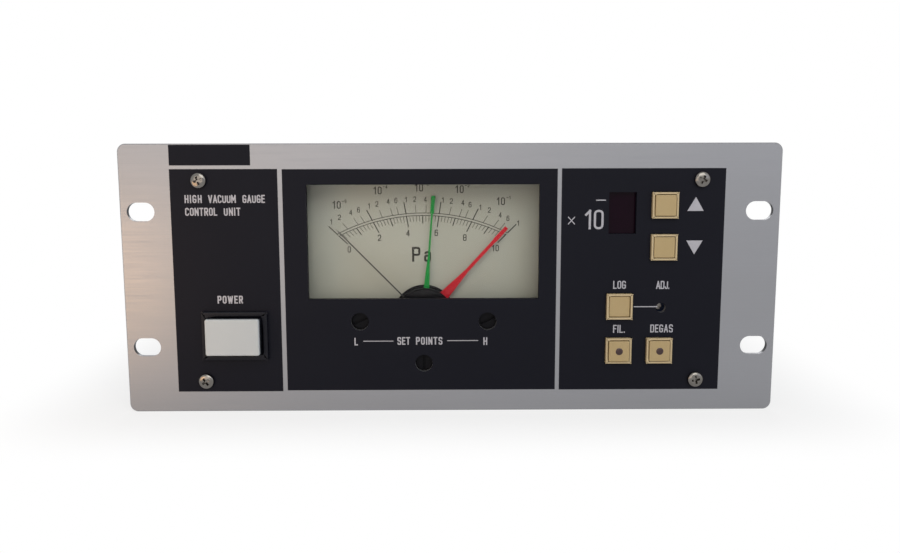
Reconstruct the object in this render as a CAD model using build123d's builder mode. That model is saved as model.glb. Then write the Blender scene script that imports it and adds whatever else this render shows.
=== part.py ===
from build123d import *
from math import acos, ceil, cos, floor, pi, radians, sin, tan
import os

# Ionisation gauge controller for a half-width instrument rack: a front panel with rack
# slots, a sheet-metal case, a moving-coil meter with two set-point hands and their
# gears, push switches, a one-digit exponent display, and the supply parts behind.
# X points right, Y to the rear and Z up. The origin is the middle of the four rack slots
# on the rear face of the panel. All sizes are in millimetres.

# Front panel
PANEL_W, PANEL_H, PANEL_T = 240.0, 99.0, 2.0
PANEL_CORNER, PANEL_EDGE = 3.0, 0.3
SLOT_PITCH_X, SLOT_PITCH_Z = 225.0, 50.0
SLOT_L, SLOT_W = 10.0, 6.8
PANEL_FRONT = -PANEL_T

# Case
CASE_W, CASE_DEPTH = 205.0, 250.0
CASE_TOP, CASE_BOTTOM = 45.25, -46.75
SHEET, COVER_T, REAR_T = 1.5, 1.2, 2.0
BEND_R = 1.5
SIDE_TOP, SIDE_BOTTOM = CASE_TOP - COVER_T, CASE_BOTTOM + COVER_T
REAR_FRONT_FACE = CASE_DEPTH - REAR_T
FLANGE = 12.0
SCREW_X, SCREW_Z = 91.0, (36.3, -37.8)

# Meter, whose pivot lies level with the two set-point adjusters
METER_X = -10.15
PIVOT_Z = -15.65
WINDOW_W, WINDOW_H, WINDOW_Z = 84.8, 42.0, 13.7
METER_W, METER_TOP, METER_BOTTOM = 94.0, 39.5, -37.0
METER_H = METER_TOP - METER_BOTTOM
METER_MID_Z = (METER_TOP + METER_BOTTOM) / 2
METER_FACE, METER_JOINT, METER_BACK, METER_WALL = 1.5, 5.0, 44.0, 2.0
GLASS_W, GLASS_H, GLASS_FRONT, GLASS_T = 88.6, 46.0, 2.5, 2.0
COVER_BACK = 6.2
POINTER_FRONT, POINTER_T = 6.5, 0.2
SCALE_FRONT, SCALE_T = 10.5, 1.0
SCALE_BOTTOM, SCALE_TOP = -11.5, 37.3

# Moving-coil movement: frame plate with a collar, yoke, core magnet, coil and rear bridge
COLLAR_R, COLLAR_FRONT = 4.0, 7.0
PLATE_W, PLATE_H, PLATE_FRONT, PLATE_BACK = 66.0, 34.0, 18.5, 20.0
YOKE_W, YOKE_BORE_R, YOKE_BACK = 28.0, 9.6, 36.0
CORE_R, CORE_LUG = 7.0, 7.0
COIL_FRONT, COIL_BACK, COIL_WALL = 21.4, 34.6, 1.2
BRIDGE_FRONT, BRIDGE_BACK, BRIDGE_H = 36.8, 38.8, 5.0
STAFF_R = 0.5

# Set-point gears: 43-tooth sectors driven by 16-tooth pinions
MODULE, SECTOR_TEETH, PINION_TEETH = 0.8, 43, 16
PRESSURE_ANGLE = radians(20)
ADDENDUM, DEDENDUM, BACKLASH = 0.72, 0.96, 0.16
ADJUSTER_REACH = MODULE * (SECTOR_TEETH + PINION_TEETH) / 2
GEAR_T = 1.5
HIGH_GEAR_FRONT, LOW_GEAR_FRONT = 15.0, 12.5
RUNNING = 0.05
SHAFT_R, SHAFT_FRONT, DRIVER_SLOT = 3.0, 0.4, 1.0
ZERO_Z = -31.4

# Hands at rest, in degrees clockwise from straight up, and the ends of their travel
SCALE_END = 45.0
POINTER_REST, LOW_REST, HIGH_REST = -44.45, 4.5, 42.5

# Push switches: middle of each cut-out, and how far its cap stands in front of the frame
SWITCHES = {
    "up": (77.8, 27.0, 0.5),
    "down": (77.8, 11.7, 0.0),
    "log": (62.0, -10.2, -0.5),
    "filament": (62.0, -26.8, 0.8),
    "degas": (77.1, -26.8, 0.5),
}
LAMP_SWITCHES = ("filament", "degas")
SWITCH_W, SWITCH_GAP, SWITCH_PROUD = 9.5, 0.2, 1.6
CAP_W, CAP_WELL, CAP_TRAVEL = 7.6, 8.0, 2.0
STEM_W, WELL_END, STEM_END = 4.0, 5.0, 9.0
LAMP_R, LAMP_DEPTH = 1.45, 1.5
SWITCH_FRONT = PANEL_FRONT - SWITCH_PROUD

# Power switch
POWER_X, POWER_Z = -79.7, -20.4
BEZEL_W, BEZEL_H, BEZEL_T = 24.0, 18.0, 1.8
BODY_W, BODY_H, BODY_END = 22.0, 16.0, 32.0
POWER_CAP_W, POWER_CAP_H, POWER_PROUD, LENS_T = 20.0, 13.4, 4.0, 1.3
POWER_WELL_END, POWER_TRAVEL = 14.0, 3.0
BEZEL_FRONT = PANEL_FRONT - BEZEL_T
POWER_FRONT = BEZEL_FRONT - POWER_PROUD

# Exponent display, trimmer and the two boards
DISPLAY_X, DISPLAY_Z, DISPLAY_W, DISPLAY_H = 62.5, 24.2, 10.1, 15.2
FILTER_W, FILTER_H, FILTER_T = 14.0, 19.0, 2.0
TRIMMER_X, TRIMMER_Z, TRIMMER_HOLE_R = 77.5, -10.8, 1.8
SPACER_L, SPACER_FLATS = 10.5, 5.5
BOARD_T = 1.6
FRONT_BOARD_Y = METER_FACE + SPACER_L
MAIN_BOARD_Z = SIDE_BOTTOM + SPACER_L
FRONT_SPACERS = [(53.5, 38.5), (53.5, -38.5), (88.5, 19.0), (88.5, -18.0)]
MAIN_SPACERS = [(x, y) for x in (-16, 87) for y in (66, 228)]

# Rear fittings
INLET_X, INLET_Z = -74.0, -18.0
FUSE_X, FUSE_Z = -74.0, 18.0
GAUGE_X, GAUGE_Z = 68.0, 16.0
JACK_X, JACK_Z = 22.0, 18.0
REMOTE_X, REMOTE_Z, REMOTE_W, REMOTE_H = 50.0, -24.0, 41.0, 11.0
EARTH_X, EARTH_Z = -38.0, -26.0

os.makedirs("parts", exist_ok=True)


def save(piece, name):
    """Name a finished piece and write its STEP file."""
    piece.part.label = name
    export_step(piece.part, f"parts/{name}.step")


def front_plane(depth, x=0.0, z=0.0, clockwise=0.0):
    """A plane that looks forward at that depth: local X is X and local Y is Z, both turned
    by that many degrees clockwise as the front shows it."""
    turn = radians(clockwise)
    return Plane(origin=(x, depth, z), x_dir=(cos(turn), 0, -sin(turn)), z_dir=(0, -1, 0))


def rear_plane(depth, x=0.0, z=0.0):
    """A plane that looks to the rear at that depth: its local X is -X."""
    return Plane(origin=(x, depth, z), x_dir=(-1, 0, 0), z_dir=(0, 1, 0))


def screw_head(head_d, head_h, wing):
    """A pan head with a cross recess, standing on the XY plane."""
    with BuildPart() as screw:
        with BuildSketch():
            Circle(head_d / 2)
        extrude(amount=head_h)
        with BuildSketch(Plane.XY.offset(head_h)):
            Rectangle(wing * 3.2, wing)
            Rectangle(wing, wing * 3.2)
        extrude(amount=-0.55 * head_h, mode=Mode.SUBTRACT)
    return screw.part


def make_front_panel():
    """Aluminium plate with rack slots and a cut-out for everything that looks through it."""
    with BuildPart() as front_panel:
        with BuildSketch(front_plane(0)):
            RectangleRounded(PANEL_W, PANEL_H, PANEL_CORNER)
            with GridLocations(SLOT_PITCH_X, SLOT_PITCH_Z, 2, 2):
                SlotOverall(SLOT_L, SLOT_W, mode=Mode.SUBTRACT)
            with Locations((METER_X, WINDOW_Z)):
                Rectangle(WINDOW_W, WINDOW_H, mode=Mode.SUBTRACT)
            with Locations((DISPLAY_X, DISPLAY_Z)):
                Rectangle(DISPLAY_W, DISPLAY_H, mode=Mode.SUBTRACT)
            with Locations((POWER_X, POWER_Z)):
                Rectangle(BODY_W + 0.4, BODY_H + 0.4, mode=Mode.SUBTRACT)
            with Locations(*[(x, z) for x, z, _ in SWITCHES.values()]):
                Rectangle(SWITCH_W + 2 * SWITCH_GAP, SWITCH_W + 2 * SWITCH_GAP, mode=Mode.SUBTRACT)
            with Locations((METER_X - ADJUSTER_REACH, PIVOT_Z), (METER_X + ADJUSTER_REACH, PIVOT_Z)):
                Circle(3.3, mode=Mode.SUBTRACT)
            with Locations((METER_X, ZERO_Z)):
                Circle(3.2, mode=Mode.SUBTRACT)
            with Locations((TRIMMER_X, TRIMMER_Z)):
                Circle(TRIMMER_HOLE_R, mode=Mode.SUBTRACT)
        extrude(amount=PANEL_T)
        face = front_panel.faces().sort_by(Axis.Y)[0]
        chamfer(face.outer_wire().edges(), PANEL_EDGE)
    save(front_panel, "front_panel")


def make_panel_screws():
    """Heads of the four nickel-plated M3 screws that hold the panel to the side plates."""
    head = screw_head(5.7, 1.9, 0.85)
    with BuildPart() as panel_screws:
        with Locations(*[front_plane(PANEL_FRONT, x, z) for x in (-SCREW_X, SCREW_X) for z in SCREW_Z]):
            add(head)
    save(panel_screws, "panel_screws")


def make_sub_panel():
    """Plated steel plate behind the panel, which carries the meter and the front board."""
    with BuildPart() as sub_panel:
        with BuildSketch(front_plane(METER_FACE)):
            with Locations((0, (SIDE_TOP + SIDE_BOTTOM) / 2)):
                Rectangle(CASE_W - 2 * SHEET - 1.0, SIDE_TOP - SIDE_BOTTOM - 0.4)
            with Locations((METER_X, WINDOW_Z)):
                Rectangle(WINDOW_W + 2.0, WINDOW_H + 2.0, mode=Mode.SUBTRACT)
            with Locations((DISPLAY_X, DISPLAY_Z)):
                Rectangle(FILTER_W + 0.4, FILTER_H + 0.4, mode=Mode.SUBTRACT)
            with Locations((POWER_X, POWER_Z)):
                Rectangle(BODY_W + 0.4, BODY_H + 0.4, mode=Mode.SUBTRACT)
            with Locations(*[(x, z) for x, z, _ in SWITCHES.values()]):
                Rectangle(SWITCH_W + 0.8, SWITCH_W + 0.8, mode=Mode.SUBTRACT)
            with Locations((METER_X - ADJUSTER_REACH, PIVOT_Z), (METER_X + ADJUSTER_REACH, PIVOT_Z),
                           (METER_X, ZERO_Z), (TRIMMER_X, TRIMMER_Z)):
                Rectangle(7.4, 7.4, mode=Mode.SUBTRACT)
        extrude(amount=METER_FACE)
    save(sub_panel, "sub_panel")


def make_side_plates():
    """Folded trays: a web with flanges at top, bottom and rear, and screw ears in front."""
    inner = CASE_W / 2 - FLANGE
    mid = CASE_W / 2 - SHEET / 2
    rear_mid = REAR_FRONT_FACE - SHEET / 2
    relief = 3.0
    with BuildPart() as side_plate_right:
        with BuildSketch(front_plane(rear_mid - relief)):
            with BuildLine():
                FilletPolyline((inner, SIDE_TOP - SHEET / 2), (mid, SIDE_TOP - SHEET / 2),
                               (mid, SIDE_BOTTOM + SHEET / 2), (inner, SIDE_BOTTOM + SHEET / 2),
                               radius=BEND_R)
            trace(line_width=SHEET)
        extrude(amount=rear_mid - 2 * relief - METER_FACE)
        with BuildSketch(Plane.XY.offset(SIDE_BOTTOM + relief)):
            with BuildLine():
                FilletPolyline((inner, rear_mid), (mid, rear_mid), (mid, METER_FACE + SHEET / 2),
                               (CASE_W / 2 - 7.0, METER_FACE + SHEET / 2), radius=BEND_R)
            trace(line_width=SHEET)
        extrude(amount=SIDE_TOP - SIDE_BOTTOM - 2 * relief)
        with BuildSketch(front_plane(METER_FACE + SHEET)):
            with Locations(*[(SCREW_X + 2.5, z) for z in SCREW_Z]):
                Rectangle(16.0, 9.0)
        extrude(amount=SHEET)
    save(side_plate_right, "side_plate_right")
    with BuildPart() as side_plate_left:
        add(mirror(side_plate_right.part, about=Plane.YZ))
    save(side_plate_left, "side_plate_left")


def make_covers():
    """Top and bottom sheets with rows of punched cooling slots."""
    for name, z, rows in (("top_cover", SIDE_TOP, (95.0, 190.0)), ("bottom_cover", CASE_BOTTOM, (100.0,))):
        with BuildPart() as cover:
            with BuildSketch(Plane.XY.offset(z)):
                with Locations((0, REAR_FRONT_FACE / 2)):
                    Rectangle(CASE_W, REAR_FRONT_FACE)
                for y in rows:
                    with Locations((0, y)):
                        with GridLocations(16.0, 0, 9, 1):
                            Rectangle(3.0, 42.0, mode=Mode.SUBTRACT)
            extrude(amount=COVER_T)
        save(cover, name)


def make_rear_panel():
    """Aluminium rear panel with the cut-outs of its fittings."""
    with BuildPart() as rear_panel:
        with BuildSketch(front_plane(CASE_DEPTH)):
            with Locations((0, (CASE_TOP + CASE_BOTTOM) / 2)):
                Rectangle(CASE_W, CASE_TOP - CASE_BOTTOM)
            with Locations((INLET_X, INLET_Z)):
                Rectangle(27.4, 20.0, mode=Mode.SUBTRACT)
            with Locations((REMOTE_X, REMOTE_Z)):
                Rectangle(REMOTE_W, REMOTE_H, mode=Mode.SUBTRACT)
            with Locations((FUSE_X, FUSE_Z)):
                Circle(6.3, mode=Mode.SUBTRACT)
            with Locations((GAUGE_X, GAUGE_Z)):
                Circle(13.5, mode=Mode.SUBTRACT)
        extrude(amount=REAR_T)
    save(rear_panel, "rear_panel")


def make_board_spacers():
    """Eight identical hexagon spacers, four for each board."""
    hexagon_r = SPACER_FLATS / 2
    with BuildPart() as board_spacers:
        with BuildSketch(front_plane(METER_FACE + SPACER_L)):
            with Locations(*FRONT_SPACERS):
                RegularPolygon(hexagon_r, 6, major_radius=False)
        extrude(amount=SPACER_L)
        with BuildSketch(Plane.XY.offset(SIDE_BOTTOM)):
            with Locations(*MAIN_SPACERS):
                RegularPolygon(hexagon_r, 6, major_radius=False)
        extrude(amount=SPACER_L)
    save(board_spacers, "board_spacers")


def make_meter_front():
    """Black moulded front of the meter, with the glass rebate and three adjuster bores."""
    with BuildPart() as meter_front:
        with BuildSketch(front_plane(METER_JOINT)):
            with Locations((METER_X, METER_MID_Z)):
                Rectangle(METER_W, METER_H)
            with Locations((METER_X, WINDOW_Z)):
                Rectangle(WINDOW_W + 0.6, WINDOW_H + 0.6, mode=Mode.SUBTRACT)
            with Locations((METER_X - ADJUSTER_REACH, PIVOT_Z), (METER_X + ADJUSTER_REACH, PIVOT_Z),
                           (METER_X, ZERO_Z)):
                Circle(SHAFT_R + RUNNING, mode=Mode.SUBTRACT)
        extrude(amount=METER_JOINT - METER_FACE)
        with BuildSketch(front_plane(METER_JOINT)):
            with Locations((METER_X, WINDOW_Z)):
                Rectangle(GLASS_W, GLASS_H)
        extrude(amount=METER_JOINT - GLASS_FRONT, mode=Mode.SUBTRACT)
    save(meter_front, "meter_front")


def make_meter_glass():
    """Flat glass that sits in the rebate."""
    with BuildPart() as meter_glass:
        with BuildSketch(front_plane(GLASS_FRONT + GLASS_T)):
            with Locations((METER_X, WINDOW_Z)):
                Rectangle(GLASS_W, GLASS_H)
        extrude(amount=GLASS_T)
    save(meter_glass, "meter_glass")


def make_meter_case():
    """Moulded box behind the meter front, with two ledges that carry the scale plate."""
    ledge_w, ledge_h = 2.5, 48.0
    ledge_x = METER_W / 2 - METER_WALL - ledge_w / 2
    with BuildPart() as meter_case:
        with BuildSketch(front_plane(METER_BACK)):
            with Locations((METER_X, METER_MID_Z)):
                Rectangle(METER_W, METER_H)
        extrude(amount=METER_BACK - METER_JOINT)
        front = meter_case.faces().sort_by(Axis.Y)[0]
        offset(amount=-METER_WALL, openings=front)
        with BuildSketch(front_plane(METER_BACK - METER_WALL)):
            with Locations((METER_X - ledge_x, 12.0), (METER_X + ledge_x, 12.0)):
                Rectangle(ledge_w, ledge_h)
        extrude(amount=METER_BACK - METER_WALL - SCALE_FRONT - SCALE_T)
    save(meter_case, "meter_case")


def make_scale_plate():
    """Sheet that carries the dial, notched at its lower edge round the hand sleeves."""
    with BuildPart() as scale_plate:
        with BuildSketch(front_plane(SCALE_FRONT + SCALE_T)):
            with Locations((METER_X, (SCALE_TOP + SCALE_BOTTOM) / 2)):
                Rectangle(METER_W - 2 * METER_WALL - 0.3, SCALE_TOP - SCALE_BOTTOM)
            with Locations((METER_X, PIVOT_Z)):
                Circle(7.6, mode=Mode.SUBTRACT)
        extrude(amount=SCALE_T)
    save(scale_plate, "scale_plate")


def make_pivot_cover():
    """Black cap over the pivot, with a bevelled rim and a flat lower edge."""
    radius, thickness, flat = 11.3, 1.2, -9.0
    with BuildPart() as pivot_cover:
        with BuildSketch(front_plane(COVER_BACK, METER_X, PIVOT_Z)):
            Circle(radius)
            with Locations((0, flat - radius)):
                Rectangle(2 * radius, 2 * radius, mode=Mode.SUBTRACT)
        extrude(amount=thickness)
        rim = pivot_cover.edges().group_by(Axis.Y)[0].filter_by(GeomType.CIRCLE)
        chamfer(rim, 0.7)
    save(pivot_cover, "pivot_cover")


def blade_outline(stations):
    """A symmetrical blade along local +Y from (radius, width) pairs, hub first."""
    right = [(width / 2, radius) for radius, width in stations]
    left = [(-x, y) for x, y in reversed(right)]
    Polyline(*right, *left, close=True)


def make_pointer():
    """Thin pointer with its hub and counterweight."""
    with BuildPart() as pointer:
        with BuildSketch(front_plane(POINTER_FRONT + POINTER_T, METER_X, PIVOT_Z, POINTER_REST)):
            with BuildLine():
                blade_outline([(-8.0, 0.9), (0.0, 1.4), (14.0, 0.44), (48.0, 0.36), (49.6, 0.2)])
            make_face()
            Circle(2.2)
            with Locations((0, -7.0)):
                Rectangle(3.0, 2.4)
        extrude(amount=POINTER_T)
    save(pointer, "pointer")


def make_moving_coil():
    """Rectangular coil with a staff stub at each end, turned with the pointer."""
    half_in, half_out, across = 7.7, 8.9, 3.0
    middle = (COIL_FRONT + COIL_BACK) / 2
    with BuildPart() as moving_coil:
        turn = radians(POINTER_REST)
        with BuildSketch(Plane(origin=(METER_X, middle, PIVOT_Z), x_dir=(cos(turn), 0, -sin(turn)),
                               z_dir=(sin(turn), 0, cos(turn)))):
            Rectangle(2 * half_out, COIL_BACK - COIL_FRONT)
            Rectangle(2 * half_in, COIL_BACK - COIL_FRONT - 2 * COIL_WALL, mode=Mode.SUBTRACT)
        extrude(amount=across / 2, both=True)
        for start, end in ((POINTER_FRONT + POINTER_T, COIL_FRONT + 0.4), (COIL_BACK - 0.4, BRIDGE_FRONT)):
            with BuildSketch(front_plane(end, METER_X, PIVOT_Z)):
                Circle(STAFF_R)
            extrude(amount=end - start)
    save(moving_coil, "moving_coil")


def make_movement_frame():
    """Die-cast frame: front plate with the collar the hands turn on, rear bridge and feet."""
    post_w, foot_w = 4.0, 5.0
    with BuildPart() as movement_frame:
        with BuildSketch(front_plane(PLATE_BACK, METER_X, PIVOT_Z)):
            Rectangle(PLATE_W, PLATE_H)
        extrude(amount=PLATE_BACK - PLATE_FRONT)
        with BuildSketch(front_plane(PLATE_FRONT, METER_X, PIVOT_Z)):
            Circle(COLLAR_R)
        extrude(amount=PLATE_FRONT - COLLAR_FRONT)
        with BuildSketch(front_plane(PLATE_BACK, METER_X, PIVOT_Z)):
            Circle(STAFF_R + RUNNING)
        extrude(amount=PLATE_BACK - COLLAR_FRONT, mode=Mode.SUBTRACT)
        with BuildSketch(front_plane(METER_BACK - METER_WALL, METER_X, PIVOT_Z)):
            with GridLocations(58.0, 24.0, 2, 2):
                Rectangle(foot_w, foot_w)
        extrude(amount=METER_BACK - METER_WALL - PLATE_BACK)
        with BuildSketch(front_plane(BRIDGE_FRONT, METER_X, PIVOT_Z)):
            with GridLocations(YOKE_W + post_w + 2.4, 0, 2, 1):
                Rectangle(post_w, BRIDGE_H)
        extrude(amount=BRIDGE_FRONT - PLATE_BACK)
        with BuildSketch(front_plane(BRIDGE_BACK, METER_X, PIVOT_Z)):
            Rectangle(YOKE_W + 2 * post_w + 2.4, BRIDGE_H)
        extrude(amount=BRIDGE_BACK - BRIDGE_FRONT)
    save(movement_frame, "movement_frame")


def make_magnet():
    """Iron yoke block, and the core magnet whose two lugs hold it in the yoke's bore."""
    with BuildPart() as magnet_ring:
        with BuildSketch(front_plane(YOKE_BACK, METER_X, PIVOT_Z)):
            Rectangle(YOKE_W, YOKE_W)
            Circle(YOKE_BORE_R, mode=Mode.SUBTRACT)
        extrude(amount=YOKE_BACK - PLATE_BACK)
        chamfer(magnet_ring.edges().filter_by(Axis.Y).filter_by(GeomType.LINE), 5.0)
    save(magnet_ring, "magnet_ring")
    core_back = COIL_BACK - COIL_WALL - 0.4
    with BuildPart() as magnet_core:
        with BuildSketch(front_plane(core_back, METER_X, PIVOT_Z)):
            Rectangle(CORE_LUG, 2 * YOKE_BORE_R + 2)
            Circle(YOKE_BORE_R, mode=Mode.INTERSECT)
            Circle(CORE_R)
        extrude(amount=core_back - COIL_FRONT - COIL_WALL - 0.4)
    save(magnet_core, "magnet_core")


def set_hand(name, rest, front, sleeve_r, bore_r, gear_front, stations):
    """A set-point hand: a flat blade on the front of the sleeve that its gear is pressed on."""
    blade_t = 0.4
    with BuildPart() as hand:
        with BuildSketch(front_plane(front + blade_t, METER_X, PIVOT_Z, rest)):
            with BuildLine():
                blade_outline(stations)
            make_face()
        extrude(amount=blade_t)
        with BuildSketch(front_plane(gear_front + GEAR_T, METER_X, PIVOT_Z)):
            Circle(sleeve_r)
        extrude(amount=gear_front + GEAR_T - front)
        with BuildSketch(front_plane(gear_front + GEAR_T, METER_X, PIVOT_Z)):
            Circle(bore_r)
        extrude(amount=gear_front + GEAR_T - front, mode=Mode.SUBTRACT)
    save(hand, name)


def tooth_half_angle(radius, teeth):
    """Half the angle that one involute tooth fills at a radius, in radians."""
    pitch_r = MODULE * teeth / 2
    base_r = pitch_r * cos(PRESSURE_ANGLE)
    slope = acos(min(1.0, base_r / max(radius, base_r)))
    involute = tan(slope) - slope
    involute_at_pitch = tan(PRESSURE_ANGLE) - PRESSURE_ANGLE
    return pi / (2 * teeth) - BACKLASH / (4 * pitch_r) + involute_at_pitch - involute


def tooth_face(teeth):
    """One tooth along local +X, rooted just below the root circle."""
    pitch_r = MODULE * teeth / 2
    root_r = pitch_r - DEDENDUM
    base_r = pitch_r * cos(PRESSURE_ANGLE)
    radii = [root_r - 0.15, max(root_r, base_r), pitch_r + ADDENDUM]
    flank = []
    for radius in radii:
        half = tooth_half_angle(radius, teeth)
        flank.append((radius * cos(half), radius * sin(half)))
    with BuildSketch() as tooth:
        with BuildLine():
            Polyline(*flank, *[(x, -y) for x, y in reversed(flank)], close=True)
        make_face()
    return tooth.sketch


def sector_gear(name, towards, travel, bore_r, front):
    """A sector with teeth wherever its pinion can reach.

    towards is the side its pinion lies on, in degrees anticlockwise from +X, and travel
    is the hand's clockwise range from rest.
    """
    pitch_r = MODULE * SECTOR_TEETH / 2
    root_r = pitch_r - DEDENDUM
    step = 360.0 / SECTOR_TEETH
    first = floor(travel[0] / step) - 1
    last = ceil(travel[1] / step) + 1
    begin = towards + (first - 0.5) * step
    span = (last - first + 1) * step
    teeth = [Location((0, 0, 0), (0, 0, towards + k * step)) for k in range(first, last + 1)]
    tooth = tooth_face(SECTOR_TEETH)
    with BuildPart() as gear:
        with BuildSketch(front_plane(front + GEAR_T, METER_X, PIVOT_Z)):
            with BuildLine():
                rim = CenterArc((0, 0), root_r, begin, span)
                Line((0, 0), rim @ 0)
                Line((0, 0), rim @ 1)
            make_face()
            Circle(bore_r + 3.0)
            with Locations(*teeth):
                add(tooth)
            Circle(bore_r, mode=Mode.SUBTRACT)
        extrude(amount=GEAR_T)
    save(gear, name)


def adjuster(name, x, gear_front):
    """A slotted shaft with its pinion, turned with a screwdriver through the panel."""
    root_r = MODULE * PINION_TEETH / 2 - DEDENDUM
    tooth = tooth_face(PINION_TEETH)
    pinion_front, pinion_back = gear_front - 0.2, gear_front + GEAR_T + 0.2
    with BuildPart() as shaft:
        with BuildSketch(front_plane(pinion_back, x, PIVOT_Z)):
            Circle(root_r)
            with PolarLocations(0, PINION_TEETH, start_angle=180.0 / PINION_TEETH):
                add(tooth)
        extrude(amount=pinion_back - pinion_front)
        with BuildSketch(front_plane(pinion_front, x, PIVOT_Z)):
            Circle(SHAFT_R)
        extrude(amount=pinion_front - SHAFT_FRONT)
        with BuildSketch(front_plane(SHAFT_FRONT + DRIVER_SLOT, x, PIVOT_Z)):
            Rectangle(2 * SHAFT_R + 1, DRIVER_SLOT, rotation=25)
        extrude(amount=2 * DRIVER_SLOT, mode=Mode.SUBTRACT)
    save(shaft, name)


def make_zero_adjuster():
    """Slotted shaft that sets the pointer to zero."""
    end = 7.5
    with BuildPart() as zero_adjuster:
        with BuildSketch(front_plane(end, METER_X, ZERO_Z)):
            Circle(SHAFT_R)
        extrude(amount=end - SHAFT_FRONT)
        with BuildSketch(front_plane(SHAFT_FRONT + DRIVER_SLOT, METER_X, ZERO_Z)):
            Rectangle(DRIVER_SLOT, 2 * SHAFT_R + 1)
        extrude(amount=2 * DRIVER_SLOT, mode=Mode.SUBTRACT)
    save(zero_adjuster, "zero_adjuster")


def make_power_switch():
    """Bezel and body of the push-push power switch, its cap and its white lens."""
    well = 0.3
    with BuildPart() as power_switch:
        with BuildSketch(front_plane(PANEL_FRONT, POWER_X, POWER_Z)):
            Rectangle(BEZEL_W, BEZEL_H)
        extrude(amount=BEZEL_T)
        chamfer(power_switch.faces().sort_by(Axis.Y)[0].outer_wire().edges(), 0.6)
        with BuildSketch(front_plane(BODY_END, POWER_X, POWER_Z)):
            Rectangle(BODY_W, BODY_H)
        extrude(amount=BODY_END - PANEL_FRONT)
        with BuildSketch(front_plane(POWER_WELL_END, POWER_X, POWER_Z)):
            Rectangle(POWER_CAP_W + 2 * well, POWER_CAP_H + 2 * well)
        extrude(amount=POWER_WELL_END - BEZEL_FRONT, mode=Mode.SUBTRACT)
        with BuildSketch(front_plane(BODY_END + 6.0, POWER_X, POWER_Z)):
            with GridLocations(10.0, 7.0, 2, 2):
                Rectangle(0.8, 4.0)
        extrude(amount=6.0)
    save(power_switch, "power_switch")
    cap_back = POWER_WELL_END - POWER_TRAVEL - 2.0
    with BuildPart() as power_button:
        with BuildSketch(front_plane(cap_back, POWER_X, POWER_Z)):
            Rectangle(POWER_CAP_W, POWER_CAP_H)
        extrude(amount=cap_back - POWER_FRONT - LENS_T)
    save(power_button, "power_button")
    with BuildPart() as power_lens:
        with BuildSketch(front_plane(POWER_FRONT + LENS_T, POWER_X, POWER_Z)):
            Rectangle(POWER_CAP_W, POWER_CAP_H)
        extrude(amount=LENS_T)
        chamfer(power_lens.faces().sort_by(Axis.Y)[0].outer_wire().edges(), 0.4)
    save(power_lens, "power_lens")


def make_switch(name, x, z, proud):
    """One push switch: housing with its square frame, sliding cap and, if it has one, lamp."""
    cap_front = SWITCH_FRONT - proud
    cap_back = WELL_END - CAP_TRAVEL - 1.2
    stem_back = STEM_END - CAP_TRAVEL - 0.5
    with BuildPart() as housing:
        with BuildSketch(front_plane(FRONT_BOARD_Y, x, z)):
            Rectangle(SWITCH_W, SWITCH_W)
        extrude(amount=FRONT_BOARD_Y - SWITCH_FRONT)
        frame_edges = housing.faces().sort_by(Axis.Y)[0].outer_wire().edges()
        chamfer(frame_edges, 0.2)
        with BuildSketch(front_plane(WELL_END, x, z)):
            Rectangle(CAP_WELL, CAP_WELL)
        extrude(amount=WELL_END - SWITCH_FRONT, mode=Mode.SUBTRACT)
        with BuildSketch(front_plane(STEM_END, x, z)):
            Rectangle(STEM_W + 0.4, STEM_W + 0.4)
        extrude(amount=STEM_END - WELL_END, mode=Mode.SUBTRACT)
    save(housing, f"{name}_switch")
    with BuildPart() as cap:
        with BuildSketch(front_plane(cap_back, x, z)):
            Rectangle(CAP_W, CAP_W)
        extrude(amount=cap_back - cap_front)
        chamfer(cap.faces().sort_by(Axis.Y)[0].outer_wire().edges(), 0.25)
        with BuildSketch(front_plane(stem_back, x, z)):
            Rectangle(STEM_W, STEM_W)
        extrude(amount=stem_back - cap_back)
        if name in LAMP_SWITCHES:
            with BuildSketch(front_plane(cap_front + LAMP_DEPTH, x, z)):
                Circle(LAMP_R)
            extrude(amount=LAMP_DEPTH, mode=Mode.SUBTRACT)
    save(cap, f"{name}_button")
    if name in LAMP_SWITCHES:
        with BuildPart() as lamp:
            with BuildSketch(front_plane(cap_front + LAMP_DEPTH, x, z)):
                Circle(LAMP_R)
            extrude(amount=LAMP_DEPTH)
        save(lamp, f"{name}_lamp")


def make_exponent_display():
    """Red filter behind the display cut-out and the one-digit module behind it."""
    with BuildPart() as display_filter:
        with BuildSketch(front_plane(FILTER_T, DISPLAY_X, DISPLAY_Z)):
            Rectangle(FILTER_W, FILTER_H)
        extrude(amount=FILTER_T)
    save(display_filter, "display_filter")
    segment, digit_w, digit_h, recess = 1.0, 5.6, 10.4, 0.3
    face = FILTER_T + 0.5
    with BuildPart() as exponent_display:
        with BuildSketch(front_plane(FRONT_BOARD_Y, DISPLAY_X, DISPLAY_Z)):
            Rectangle(9.9, 14.6)
        extrude(amount=FRONT_BOARD_Y - face)
        with BuildSketch(front_plane(face + recess, DISPLAY_X, DISPLAY_Z)):
            with GridLocations(0, digit_h / 2, 1, 3):
                Rectangle(digit_w - 1.6 * segment, segment)
            with GridLocations(digit_w, digit_h / 2, 2, 2):
                Rectangle(segment, digit_h / 2 - 1.6 * segment)
        extrude(amount=recess, mode=Mode.SUBTRACT)
    save(exponent_display, "exponent_display")


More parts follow.
